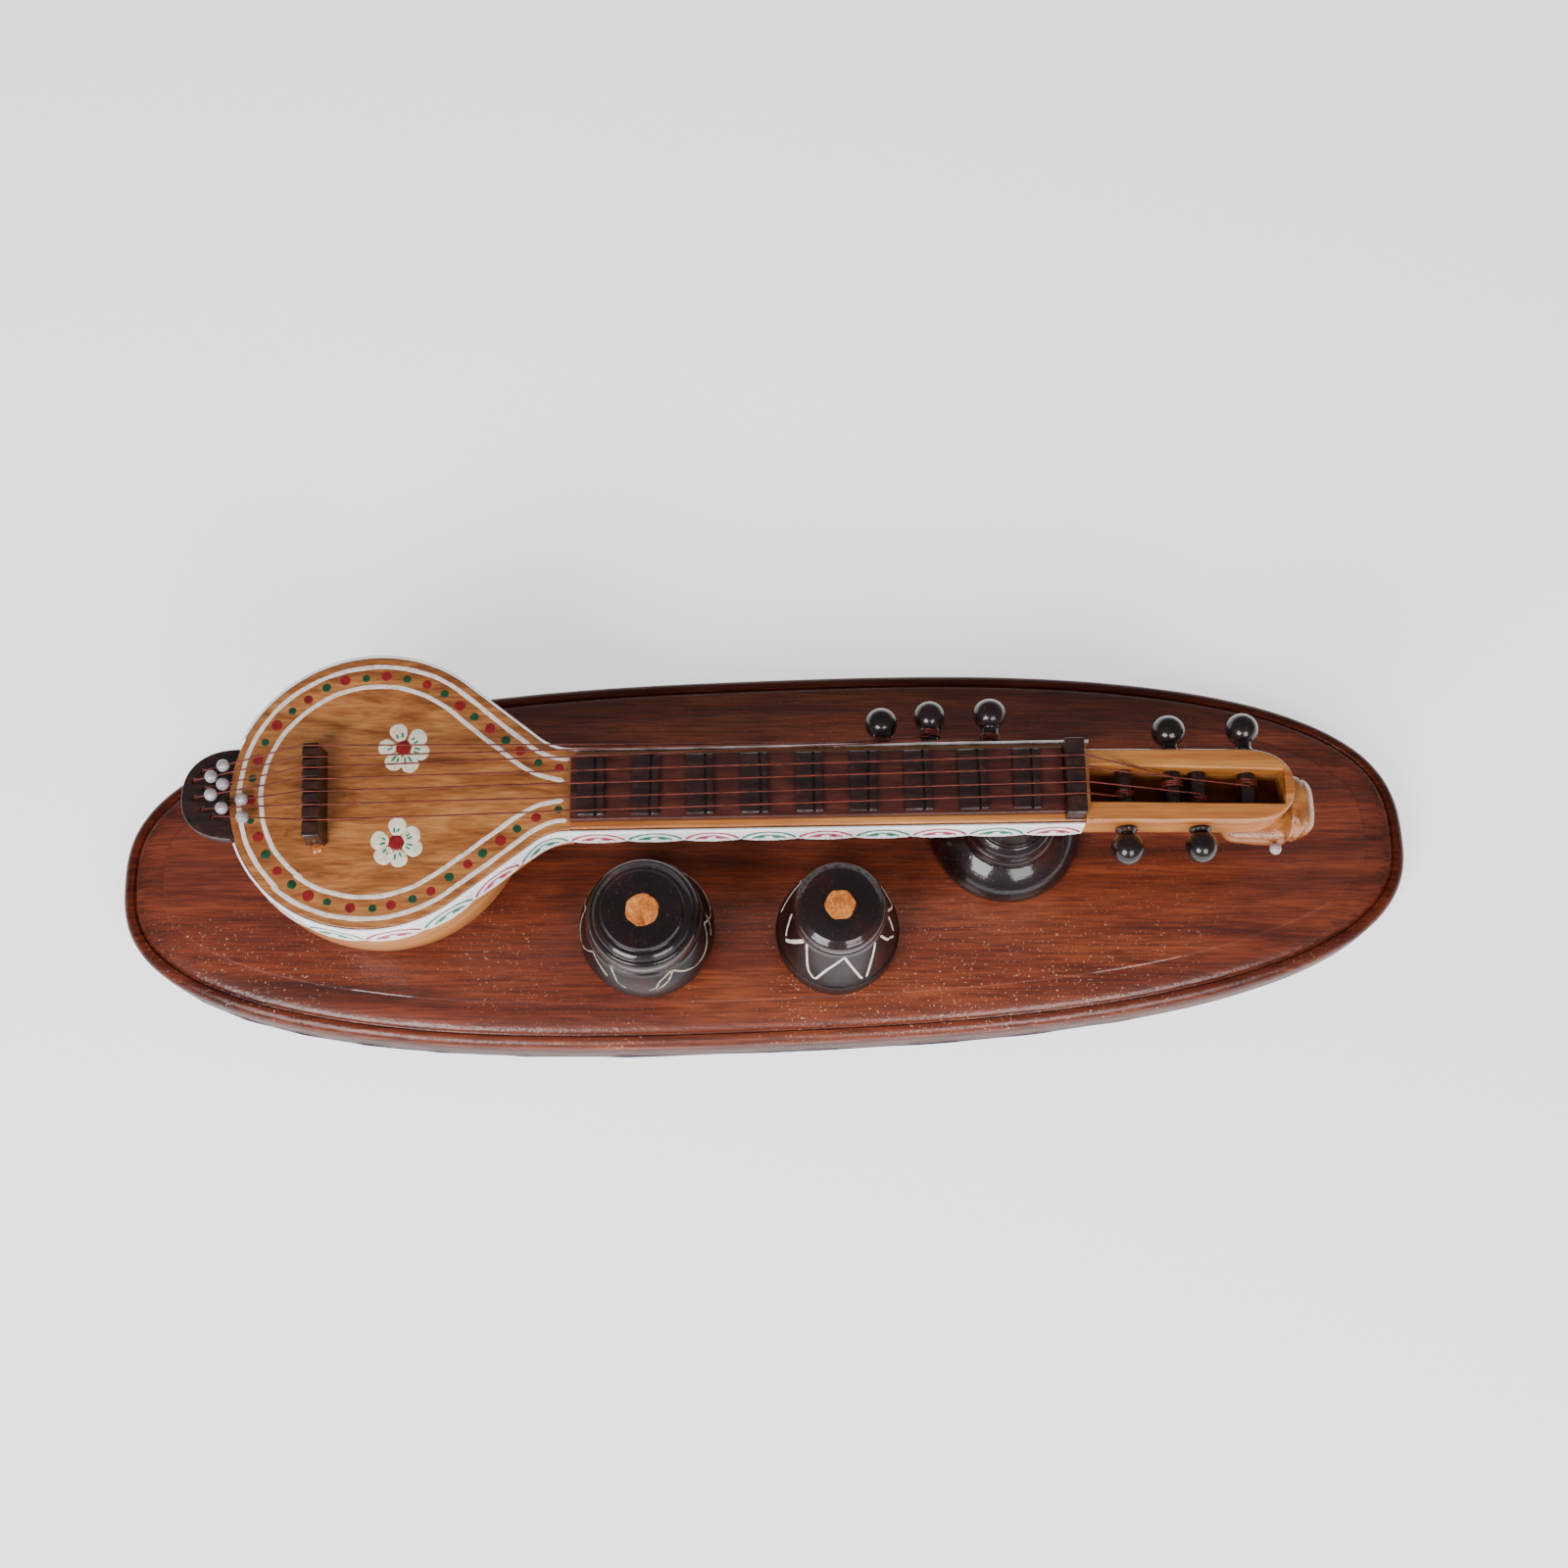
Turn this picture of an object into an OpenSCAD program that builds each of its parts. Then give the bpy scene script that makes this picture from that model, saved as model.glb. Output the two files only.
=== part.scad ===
// Miniature veena with two small drums, on an oval wooden board.
// Millimetres. +X runs along the neck to the pegbox, +Z is up.
// The origin is the middle of the underside of the board.

/* [Board] */
// Length of the oval board
board_len = 302; // [260:1:360]
// Width of the oval board
board_wid = 90; // [82:1:110]
// Height of the board's top face above the table
board_top = 12; // [11:0.5:16]
// How square the oval is, 2 for an ellipse
board_squareness = 2.6; // [2.4:0.02:3.4]
// Turn of the board under the instrument, degrees
board_turn = 2.45; // [0:0.05:3]
// Thickness of the felt sheet under the board
backing_thk = 0.8; // [0.4:0.1:1.5]
// Height of the straight edge of the board
edge_h = 8; // [5:0.1:8.2]
// Width of the rounded lip
lip_w = 2.6; // [1.5:0.1:3.5]
// Width of the groove inside the lip
groove_w = 0.8; // [0.4:0.1:1.5]
// Depth of the groove inside the lip
groove_d = 0.4; // [0.2:0.05:0.8]
// Distance from the outer edge to the flat field
field_inset = 10.4; // [8:0.1:14]

/* [Bowl and soundboard] */
// Radius of the round of the soundboard
bowl_r = 31; // [26:0.5:36]
// Centre of the bowl along X
bowl_x = -85; // [-92:0.5:-78]
// Line of the instrument, along Y
inst_y = 3.3; // [1:0.1:5]
// Height of the soundboard's top face above the board
body_h = 36; // [31:0.5:42]
// Thickness of the soundboard
soundboard_thk = 1.6; // [1:0.1:2.4]
// How far the bowl swells past the soundboard
bowl_swell = 0.4; // [0.2:0.1:3]
// Depth of the widest part of the bowl below the soundboard's top
swell_depth = 14; // [10:0.5:18]
// Depth of the upright rim of the bowl below the soundboard
rim_h = 1.8; // [1:0.1:3]
// Wall of the bowl
bowl_wall = 3; // [2:0.1:5]
// Slope of the shoulders of the soundboard, degrees
shoulder_slope = 38; // [34:1:42]

/* [Neck] */
// Length of the neck from the bowl joint to the pegbox
neck_len = 111.2; // [105:0.1:125]
// Half of the width of the neck
neck_half = 9.1; // [8.8:0.1:10]
// Height of the neck
neck_h = 10; // [9:0.1:11]
// Turn of the neck against the line of the bowl, degrees
neck_turn = 1; // [0:0.05:1.5]
// Radius of the lower corners of the neck
neck_round = 3.6; // [2:0.1:4]
// Width of the fingerboard
fingerboard_wid = 14.8; // [13:0.1:16]
// Thickness of the fingerboard
fingerboard_thk = 2; // [1:0.1:3]
// Number of fret blocks
fret_count = 9; // [9:1:9]
// Length of a fret block along the neck
fret_len = 6.1; // [4:0.1:8]
// Height of a fret block
fret_h = 1.4; // [0.8:0.1:1.8]
// Distance from the joint to the middle of the first fret block
fret_start = 4.6; // [4:0.1:6]
// Distance from the last fret block to the nut
fret_end_gap = 5.25; // [3:0.05:8]
// Length of the nut along the neck
nut_len = 4.2; // [3:0.1:5]
// Height of the nut above the neck
nut_h = 5; // [4.5:0.1:6]

/* [Pegbox and head] */
// Length of the pegbox
pegbox_len = 45.3; // [43:0.1:50]
// Half of the width of the pegbox
pegbox_half = 8.4; // [8:0.1:9]
// Half of the width of the open channel
channel_half = 4.2; // [3.8:0.1:4.8]
// Height of the pegbox
pegbox_h = 10; // [9.6:0.1:12]
// How far the rails stand above the neck's top
rail_rise = 2; // [1:0.1:2.5]
// Floor of the channel
channel_floor = 1.5; // [1:0.1:2]
// Length of the open channel
channel_len = 43; // [40:0.1:43]
// How far the pegbox lies from the line of the instrument, along Y
pegbox_shift = 0.65; // [0.2:0.05:1.2]

/* [Pegs] */
// Radius of a peg's shaft
peg_r = 2; // [1.6:0.05:2.3]
// Running clearance round a shaft
peg_clear = 0.05; // [0.02:0.01:0.09]
// Radius of a peg's ball
knob_r = 3.6; // [3:0.05:3.8]
// Height of the pegbox pegs above the neck's underside
main_peg_rise = 7.5; // [7:0.1:8]
// Height of the drone pegs above the neck's underside
drone_peg_rise = 4.6; // [4.4:0.1:5.5]
// Depth of a drone peg's hole in the neck
drone_socket = 6; // [4:0.5:9]

/* [Strings and bridge] */
// Diameter of the wire
wire_d = 0.35; // [0.25:0.01:0.5]
// Length of the bridge
bridge_len = 21.2; // [20:0.1:24]
// Width of the top of the bridge
bridge_wid = 3.7; // [2.5:0.1:5]
// Height of the bridge
bridge_h = 6.5; // [6:0.1:8]
// Distance from the bowl's centre back to the middle of the bridge
bridge_back = 11.9; // [9:0.1:14]
// Turn of the bridge, degrees
bridge_turn = 4.3; // [0:0.1:5]
// Diameter of a pearl
bead_d = 2.8; // [2.2:0.05:2.85]
// Running clearance of a pearl on its wire
bead_clear = 0.06; // [0.03:0.01:0.09]
// Turns of wire on a peg
winding_turns = 4; // [3:1:4]

/* [Tailpiece] */
// Distance from the soundboard's round to the tip of the tailpiece
tail_len = 10.6; // [10:0.1:13]
// Half of the width of the tailpiece
tail_half = 10.4; // [9.5:0.1:12]
// Thickness of the tailpiece
tail_thk = 2.5; // [1.5:0.1:3.2]
// Drop of the tailpiece's top below the soundboard's top
tail_drop = 0.7; // [0.5:0.1:1]
// Radius of a wire hole in the tailpiece
hole_r = 0.6; // [0.4:0.05:0.7]

/* [Side bands] */
// Height of the side bands
band_h = 8; // [5:0.1:8.5]
// Thickness of the side bands
band_thk = 0.5; // [0.3:0.05:0.8]
// Gap between a side band and the wood
band_gap = 0.12; // [0.05:0.01:0.3]

/* [Gourd and drums] */
// Widest radius of the gourd under the neck
gourd_r = 17.4; // [13:0.1:20]
// Distance from the neck's end back to the middle of the gourd
gourd_back = 13.2; // [9.2:0.1:19.2]
// Widest radius of the left drum
bayan_r = 15.2; // [12:0.1:16]
// Height of the left drum
bayan_h = 29; // [24:0.5:34]
// Widest radius of the right drum
dayan_r = 14; // [11:0.1:15]
// Height of the right drum
dayan_h = 31; // [25:0.5:36]
// Radius of the wooden plug in the left drum
bayan_plug_r = 3.75; // [2.5:0.05:4.5]
// Radius of the wooden plug in the right drum
dayan_plug_r = 3.4; // [2.5:0.05:4.2]

/* [Hidden] */
$fn = 64;
touch = 0.02;            // gap left between a wire and what it rests on
outline_steps = 112;     // points round the board
wire_r = wire_d / 2;
deck_z = board_top + body_h;
neck_base_z = deck_z - neck_h;
shell_top_z = deck_z - soundboard_thk;
joint_x = bowl_x + bowl_r + 12;
neck_end_x = joint_x + neck_len;
nut_x = neck_end_x - nut_len - 0.1;
nut_top_z = deck_z + nut_h;
pegbox_end_x = neck_end_x + pegbox_len;
pegbox_y = inst_y + pegbox_shift;
bridge_x = bowl_x - bridge_back;
gourd_x = neck_end_x - gourd_back;
tail_x = bowl_x - bowl_r;
neck_edge_y = inst_y + neck_half;
fret_pitch = (neck_len - nut_len - 0.1 - fret_start - fret_len / 2 - fret_end_gap) / (fret_count - 1);
pegbox_top_z = deck_z + rail_rise;
pegbox_base_z = pegbox_top_z - pegbox_h;
main_peg_z = neck_base_z + main_peg_rise;
drone_peg_z = neck_base_z + drone_peg_rise;
bore_r = peg_r + peg_clear;
band_base_z = deck_z - band_h;
tail_top_z = deck_z - tail_drop;
tail_wire_z = tail_top_z + 0.8;
notch_d = 0.4;
bridge_seat_z = deck_z + bridge_h - notch_d;
board_lap = 0.6;         // the felt stops this far inside the board's edge

// Places of the pearls and of the wire holes, one row a string, far side first, with X measured
// from the soundboard's tail and Y from the line of the instrument:
// [y at the bridge, pearl x, pearl y, hole x]
course_places = [
    [8, -1.5, 5.1, -6.3],
    [5.4, -3.9, 2.7, -8],
    [3, -1.2, 0.9, -5.5],
    [0.4, -3.6, -1.4, -7.6],
    [-2.4, 3.3, -2.7, -1.5],
    [-5.4, -0.9, -4.5, -5.6],
    [-8.8, 4, -6.9, -3.2]];
courses = [for (c = course_places) [inst_y + c[0], tail_x + c[1], inst_y + c[2], tail_x + c[3]]];

// The three drone strings, from the neck's end and its far edge:
// [x where the wire leaves the far band's edge, y at its peg]
drone_places = [[-71.2, 2.6], [-51.2, 4.6], [-30.2, 3.6]];
drone_ends = [for (d = drone_places) [neck_end_x + d[0], neck_edge_y + d[1]]];
// The four playing strings, from the line of the pegbox:
// [y at the nut, y at the peg, number of the peg]
melody_places = [[5.65, 2.45, 6], [2.75, 0.45, 7], [-0.45, -1.35, 5], [-3.05, -2.15, 4]];
melody_ends = [for (m = melody_places) [pegbox_y + m[0], pegbox_y + m[1], m[2]]];
// Each peg, from the neck's end:
// [x, side, gap from the wood's face to its ball, side of the string that its turns lie on]
peg_places = [
    [-43.4, 1, 4.6, 1],
    [-32.6, 1, 6.2, 1],
    [-19.2, 1, 6.8, 1],
    [9.2, -1, 1.15, 1],
    [25.2, -1, 0.65, -1],
    [19.7, 1, 1.75, -1],
    [36, 1, 2.25, 1]];
function ball_y(i, p) = (i < 3 ? neck_edge_y : pegbox_y + p[1] * pegbox_half) + p[1] * (knob_r + p[2]);
// Each peg in place: [x, side, y of the middle of its ball, side of the string for its turns]
pegs = [for (i = [0:6]) let (p = peg_places[i]) [neck_end_x + p[0], p[1], ball_y(i, p), p[3]]];

// ---- shared functions ----

function sgn(v) = v < 0 ? -1 : 1;
function smooth(t) = let (s = min(1, max(0, t))) s * s * (3 - 2 * s);
function unit(v) = v / norm(v);

// A smooth curve through points, used for every turned profile
function curve_at(p0, p1, p2, p3, t) =
    0.5 * (2 * p1 + (p2 - p0) * t + (2 * p0 - 5 * p1 + 4 * p2 - p3) * t * t
    + (3 * p1 - p0 - 3 * p2 + p3) * t * t * t);
function curve(pts, steps) = let (last = len(pts) - 1) concat(
    [for (i = [0:last - 1], k = [0:steps - 1])
        curve_at(pts[max(0, i - 1)], pts[i], pts[i + 1], pts[min(last, i + 2)], k / steps)],
    [pts[last]]);

// A closed solid through rings that all hold the same number of points
module loft(rings) {
    n = len(rings[0]);
    m = len(rings);
    polyhedron(
        points = [for (ring = rings) each ring],
        faces = concat(
            [[for (i = [0:n - 1]) i]],
            [[for (i = [n - 1:-1:0]) (m - 1) * n + i]],
            [for (j = [0:m - 2], i = [0:n - 1])
                [j * n + i, (j + 1) * n + i, (j + 1) * n + (i + 1) % n, j * n + (i + 1) % n]]),
        convexity = 8);
}

// ---- board ----

// The oval, moved in by d along its own normal
function oval(d) = [for (i = [0:outline_steps - 1])
    let (
        a = -360 * i / outline_steps,
        p = 2 / board_squareness,
        c = abs(cos(a)),
        s = abs(sin(a)),
        x = board_len / 2 * pow(c, p) * sgn(cos(a)),
        y = board_wid / 2 * pow(s, p) * sgn(sin(a)),
        q = 2 - p,
        n = unit([2 / board_len * pow(c, q) * sgn(cos(a)), 2 / board_wid * pow(s, q) * sgn(sin(a))]))
    [x, y] - d * n];

// The moulding, from the underside up to the flat field: [inset, height]
lip_rise = 2.4;
slope_start = lip_w + groove_w;
slope_z = edge_h + lip_rise - groove_d + 0.1;
slope_top_z = board_top - 0.25;
moulding = concat(
    [[0.5, backing_thk], [0, backing_thk + 0.5], [0, edge_h]],
    [for (a = [22.5:22.5:90]) [lip_w * (1 - cos(a)), edge_h + lip_rise * sin(a)]],
    [[lip_w + groove_w / 2, edge_h + lip_rise - groove_d]],
    [for (a = [0:18:90]) [
        slope_start + (field_inset - 0.4 - slope_start) * (1 - cos(a)),
        slope_z + (slope_top_z - slope_z) * sin(a)]],
    [[field_inset, board_top]]);

module base_board() {
    color("saddlebrown")
    rotate(board_turn)
    loft([for (m = moulding) [for (p = oval(m[0])) [p[0], p[1], m[1]]]]);
}

module base_backing() {
    color("midnightblue")
    rotate(board_turn)
    linear_extrude(backing_thk)
    polygon(oval(board_lap));
}

// ---- bowl and soundboard ----

// Half of the outline of the soundboard is a straight end, a hollow fillet, a straight
// shoulder and the round, all moved out by d. Points are relative to the bowl's centre.
round_start = 90 - shoulder_slope;
end_u = joint_x - bowl_x;
fillet_r = (end_u * cos(round_start) + neck_half * sin(round_start) - bowl_r) / (1 - sin(round_start));
function fillet_point(a, d) =
    [end_u + (fillet_r - d) * cos(a), neck_half + fillet_r + (fillet_r - d) * sin(a)];
function round_point(a, d) = (bowl_r + d) * [cos(a), sin(a)];
function half_outline(d) = concat(
    [for (k = [0:4]) fillet_point(-90 - k * shoulder_slope / 4, d)],
    [for (t = [0.125:0.125:0.875])
        (1 - t) * fillet_point(-90 - shoulder_slope, d) + t * round_point(round_start, d)],
    [for (k = [0:26]) round_point(round_start + k * (180 - round_start) / 26, d)]);
function pear(d) = let (h = half_outline(d), n = len(h)) concat(
    [for (k = [-2:2]) [end_u, -k * neck_half / 3]],
    [for (i = [0:n - 1]) [h[i][0], -h[i][1]]],
    [for (i = [n - 2:-1:0]) h[i]]);

// Radius of the round part of the bowl at a height
swell_z = deck_z - swell_depth;
swell_r = bowl_r + bowl_swell;
rim_z = shell_top_z - rim_h;
upper_c = (rim_z - swell_z) / sqrt(1 - pow(bowl_r / swell_r, 2));
function ball_r(z) =
    z >= rim_z ? bowl_r :
    z >= swell_z ? swell_r * sqrt(1 - pow((z - swell_z) / upper_c, 2)) :
    sqrt(max(16, pow(swell_r, 2) - pow(swell_z - z, 2)));
// How much of the tongue towards the neck is left at a height
tongue_z = board_top + 10;
function tongue(z) = let (s = min(1, max(0, (z - tongue_z) / (neck_base_z - tongue_z)))) 1 - sqrt(1 - s * s);
function side(p) = smooth((abs(atan2(p[1], p[0])) - 25) / 35);
function bowl_ring(z) = [for (p = pear(0))
    let (
        excess = max(0, norm(p) - bowl_r),
        swell = max(0, ball_r(z) - bowl_r),
        r = ball_r(z) + excess * tongue(z) - swell * (1 - side(p)),
        q = unit(p) * r)
    [bowl_x + q[0], inst_y + q[1], z]];
function hollow_ring(z) = [for (p = pear(0))
    let (q = unit(p) * (min(bowl_r, ball_r(z)) - bowl_wall))
    [bowl_x + q[0], inst_y + q[1], z]];

module resonator_bowl() {
    lower = [0, 1.5, 4, 7, 10, 13, 16.5, 20, 22.8, 24.6, 25.6, 25.95];
    upper = [26, 28, 30, 31.4];
    hollow = [31.4, 27, 23, 19, 15, 11, 8, 5.5];
    color("burlywood")
    loft(concat(
        [for (h = lower) bowl_ring(board_top + h * (neck_base_z - board_top) / 26)],
        [for (h = upper) bowl_ring(neck_base_z + (h - 26) * (rim_z - neck_base_z) / 5.4)],
        [bowl_ring(shell_top_z), hollow_ring(shell_top_z)],
        [for (h = hollow) hollow_ring(board_top + h * (shell_top_z - board_top) / 34.4)]));
}

module soundboard() {
    color("tan")
    translate([bowl_x, inst_y, shell_top_z])
    linear_extrude(soundboard_thk)
    polygon(pear(0));
}

// ---- neck ----

function neck_y(x) = inst_y + (x - joint_x) * tan(neck_turn);
function neck_far_y(x) = neck_y(x) + neck_half / cos(neck_turn);
function band_outer_y(x) = neck_far_y(x) + band_gap + band_thk;
function peg_z(i) = i < 3 ? drone_peg_z : main_peg_z;

// Places its children on the neck's line, with X measured from the joint
module on_neck() {
    translate([joint_x, inst_y, 0])
    rotate(neck_turn)
    children();
}

// Keeps what lies between two places along X
module trimmed(x0, x1) {
    intersection() {
        children();
        translate([x0, -50, 0])
        cube([x1 - x0, 100, 100]);
    }
}

module drone_bore(i, r) {
    translate([pegs[i][0], neck_far_y(pegs[i][0]) - drone_socket, drone_peg_z])
    rotate([-90, 0, 0])
    cylinder(r = r, h = drone_socket + 5);
}

module neck() {
    color("burlywood")
    difference() {
        trimmed(joint_x, neck_end_x)
        on_neck()
        translate([-2, 0, deck_z])
        rotate([90, 0, 90])
        linear_extrude(neck_len + 4)
        polygon(concat(
            [[-neck_half, 0]],
            [for (a = [180:15:270]) [
                -neck_half + neck_round * (1 + cos(a)), -neck_h + neck_round * (1 + sin(a))]],
            [for (a = [270:15:360]) [
                neck_half - neck_round * (1 - cos(a)), -neck_h + neck_round * (1 + sin(a))]],
            [[neck_half, 0]]));
        for (i = [0:2]) drone_bore(i, bore_r);
    }
}

module fingerboard() {
    color("saddlebrown")
    trimmed(joint_x, nut_x)
    on_neck()
    translate([-2, -fingerboard_wid / 2, deck_z])
    cube([neck_len, fingerboard_wid, fingerboard_thk]);
}

module fret(i) {
    color("sienna")
    on_neck()
    translate([fret_start + (i - 1) * fret_pitch - fret_len / 2, 0.6 - fingerboard_wid / 2, deck_z + fingerboard_thk])
    cube([fret_len, fingerboard_wid - 1.2, fret_h]);
}

module nut() {
    color("dimgray")
    translate([nut_x, neck_y(nut_x) - neck_half + 0.5, deck_z])
    cube([nut_len, 2 * neck_half - 1, nut_h]);
}

// ---- pegbox and head ----

module peg_bores() {
    for (i = [3:6]) {
        s = pegs[i][1];
        translate([pegs[i][0], pegbox_y + s * (pegbox_half + 1), main_peg_z])
        rotate([s * 90, 0, 0])
        cylinder(r = bore_r, h = pegbox_half + channel_half + 4.2);
    }
}

module pegbox() {
    round_x = pegbox_end_x - 12;
    color("burlywood")
    difference() {
        translate([0, pegbox_y, pegbox_base_z])
        linear_extrude(pegbox_h)
        polygon(concat(
            [[neck_end_x, -pegbox_half]],
            [for (a = [-90:10:90]) [
                round_x + 12 * pow(max(0, cos(a)), 0.8),
                pegbox_half * sgn(a) * pow(abs(sin(a)), 0.8)]],
            [[neck_end_x, pegbox_half]]));
        translate([neck_end_x + 1, pegbox_y - channel_half, pegbox_base_z + channel_floor])
        cube([channel_len - 1, 2 * channel_half, pegbox_h]);
        peg_bores();
    }
}

// Sections of the carved head along X, from under the pegbox to the tip:
// [distance from the pegbox's end, half width, depth of its underside, depth of its top],
// with depths measured down from the top of the pegbox
head_gap = 0.04;
under = pegbox_h + head_gap;
head_sections = [
    [-14, 5.2, 14, under],
    [-12, 6.9, 15.2, under],
    [-7.5, 7.3, 16.6, under],
    [-2.5, 7.5, 17.6, under],
    [head_gap, 7.4, 17.9, under],
    [head_gap + 0.15, 7.4, 17.9, 4.4],
    [2.4, 7, 17.6, 4.8],
    [4.4, 6.2, 16.2, 5.8],
    [5.8, 5, 14.2, 7.6],
    [6.5, 3.4, 12.2, 9.6]];
head_y = pegbox_y - 2;
module head_scroll() {
    color("peru")
    loft([for (s = head_sections)
        let (mid = (s[2] + s[3]) / 2, half = (s[2] - s[3]) / 2)
        [for (a = [0:15:345]) [
            pegbox_end_x + s[0],
            head_y + s[1] * sgn(cos(a)) * pow(abs(cos(a)), 0.7),
            pegbox_top_z - mid - half * sgn(sin(a)) * pow(abs(sin(a)), 0.7)]]]);
}

module head_eyes() {
    eye_r = 1.3;
    color("white")
    for (s = [-1, 1])
    translate([pegbox_end_x - 2, head_y + s * (7.5 + eye_r), pegbox_base_z - 2.4])
    sphere(eye_r, $fn = 32);
}

// ---- bridge and tailpiece ----

function bridge_edge_x(y) = bridge_x - bridge_wid / 2 - (y - inst_y + 1.9) * tan(bridge_turn);

module bridge() {
    color("maroon")
    difference() {
        translate([bridge_x, inst_y - 1.9, deck_z])
        rotate([90, 0, bridge_turn])
        linear_extrude(bridge_len, center = true)
        polygon([
            [-bridge_wid / 2 - 0.5, 0], [bridge_wid / 2 + 0.5, 0],
            [bridge_wid / 2, 2.2], [bridge_wid / 2, bridge_h],
            [-bridge_wid / 2, bridge_h], [-bridge_wid / 2, 2.2]]);
        for (c = courses)
        translate([bridge_x - 5, c[0] - 0.45, bridge_seat_z])
        cube([10, 0.9, 5]);
    }
}

// Height of a wire over its seat in the bridge
bridge_wire_z = bridge_seat_z + wire_r + 0.06;
function bridge_point(i) = [bridge_edge_x(courses[i][0]) - 0.05, courses[i][0], bridge_wire_z];
function bridge_front(i) = bridge_point(i) + [bridge_wid / cos(bridge_turn) + 0.1, 0, 0];
// The wire runs straight from the bridge through its pearl to above its hole
function hole_point(i) = let (
    b = bridge_point(i),
    t = (courses[i][3] - b[0]) / (courses[i][1] - b[0]))
    [courses[i][3], b[1] + (courses[i][2] - b[1]) * t, tail_wire_z];
function bead_point(i) = let (
    b = bridge_point(i),
    h = hole_point(i),
    t = (courses[i][1] - b[0]) / (h[0] - b[0]))
    b + (h - b) * t;

module tailpiece() {
    fit_r = bowl_r + 0.05;
    color("maroon")
    translate([0, 0, tail_top_z - tail_thk])
    difference() {
        linear_extrude(tail_thk)
        translate([bowl_x - bowl_r + 2, inst_y - 0.7])
        polygon([for (a = [90:7.5:270]) [
            -(tail_len + 2) * pow(abs(cos(a)), 0.85),
            tail_half * sgn(sin(a)) * pow(abs(sin(a)), 0.85)]]);
        translate([bowl_x, inst_y, -1])
        cylinder(r = fit_r, h = tail_thk + 2, $fn = 128);
        for (i = [0:6])
        translate([hole_point(i)[0], hole_point(i)[1], -1])
        cylinder(r = hole_r, h = tail_thk + 2, $fn = 24);
    }
}

// ---- side bands ----

// A thin strip from beside the tailpiece to the neck's end, with a lean over the swell of the bowl
band_lean = ball_r(max(band_base_z, swell_z)) - bowl_r;
function band_end_x(s) = s > 0 ? neck_end_x + 1.6 : neck_end_x - 0.05;
band_tail_y = tail_half + 1.2;
function neck_point(x, s, d) = [x, neck_y(x) + s * (neck_half / cos(neck_turn) + d)];
function band_line(s, d, drop) = let (h = half_outline(0), n = len(h)) concat(
    [neck_point(band_end_x(s), s, d), neck_point(joint_x + 2, s, d)],
    [for (i = [1:n - 2]) if (i < 5 || h[i][0] > 0 || h[i][1] > band_tail_y)
        let (
            p = h[i],
            before = h[i - 1],
            after = h[i + 1],
            out = unit([after[1] - before[1], before[0] - after[0]]),
            q = p + out * (d + drop * band_lean * side(p)))
        [bowl_x + q[0], inst_y + s * q[1]]]);

module side_band(s) {
    lines = [
        band_line(s, band_gap, 0), band_line(s, band_gap + band_thk, 0),
        band_line(s, band_gap + band_thk, 1), band_line(s, band_gap, 1)];
    heights = [deck_z, deck_z, band_base_z, band_base_z];
    last = len(lines[0]) - 1;
    faces = concat(
        [[0, 1, 2, 3], [4 * last + 3, 4 * last + 2, 4 * last + 1, 4 * last]],
        [for (j = [0:last - 1]) let (a = 4 * j, b = 4 * j + 4) each [
            [a, b, b + 1, a + 1],
            [a + 2, b + 2, b + 3, a + 3],
            [a + 1, b + 1, a + 2],
            [b + 1, b + 2, a + 2],
            [a + 3, b, a],
            [a + 3, b + 3, b]]]);
    polyhedron(
        points = [for (i = [0:last], k = [0:3]) [lines[k][i][0], lines[k][i][1], heights[k]]],
        faces = s > 0 ? faces : [for (f = faces) [for (i = [len(f) - 1:-1:0]) f[i]]],
        convexity = 8);
}

module side_band_near() {
    color("white")
    side_band(-1);
}

module side_band_far() {
    color("white")
    difference() {
        side_band(1);
        for (i = [0:2]) drone_bore(i, bore_r + 0.15);
    }
}

// ---- strings ----

function wire_top(i) = [pegs[i][0], 0, peg_z(i) + peg_r + wire_r + touch];
function drone_route(i) = let (e = drone_ends[i], t = wire_top(i)) [
    [hole_point(i)[0], hole_point(i)[1], tail_top_z - tail_thk + 0.3],
    hole_point(i),
    bridge_point(i),
    bridge_front(i),
    [e[0], band_outer_y(e[0]) + 0.2, deck_z + 0.25],
    [t[0], e[1], t[2]]];
function melody_route(i) = let (e = melody_ends[i - 3], t = wire_top(e[2] - 1)) [
    [hole_point(i)[0], hole_point(i)[1], tail_top_z - tail_thk + 0.3],
    hole_point(i),
    bridge_point(i),
    [nut_x + nut_len + 0.06, e[0], nut_top_z + wire_r + 0.03],
    [t[0], e[1], t[2]]];
function route(i) = i < 3 ? drone_route(i) : melody_route(i);

// Octagonal rings square to the wire at its ends and halfway at each bend
function wire_ring(pts, i) = let (
    last = len(pts) - 1,
    back = unit(pts[i] - pts[max(0, i - 1)] + (i == 0 ? pts[1] - pts[0] : [0, 0, 0])),
    ahead = unit(pts[min(last, i + 1)] - pts[i] + (i == last ? pts[i] - pts[i - 1] : [0, 0, 0])),
    along = unit(back + ahead),
    side_dir = unit(cross(along, [0, 1, 0])),
    up_dir = cross(side_dir, along),
    stretch = 1 / max(0.6, along * back))
    [for (a = [0:45:315]) pts[i] + wire_r * (stretch * cos(a) * side_dir + sin(a) * up_dir)];

module string(i) {
    pts = route(i - 1);
    color("sienna")
    loft([for (k = [0:len(pts) - 1]) wire_ring(pts, k)]);
}

module bead(i) {
    a = bridge_point(i - 1);
    b = hole_point(i - 1);
    along = a - b;
    color("white")
    translate(bead_point(i - 1))
    rotate([0, acos(along[2] / norm(along)), atan2(along[1], along[0])])
    difference() {
        sphere(bead_d / 2, $fn = 48);
        cylinder(r = wire_r + bead_clear, h = 2 * bead_d, center = true, $fn = 24);
    }
}

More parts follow.
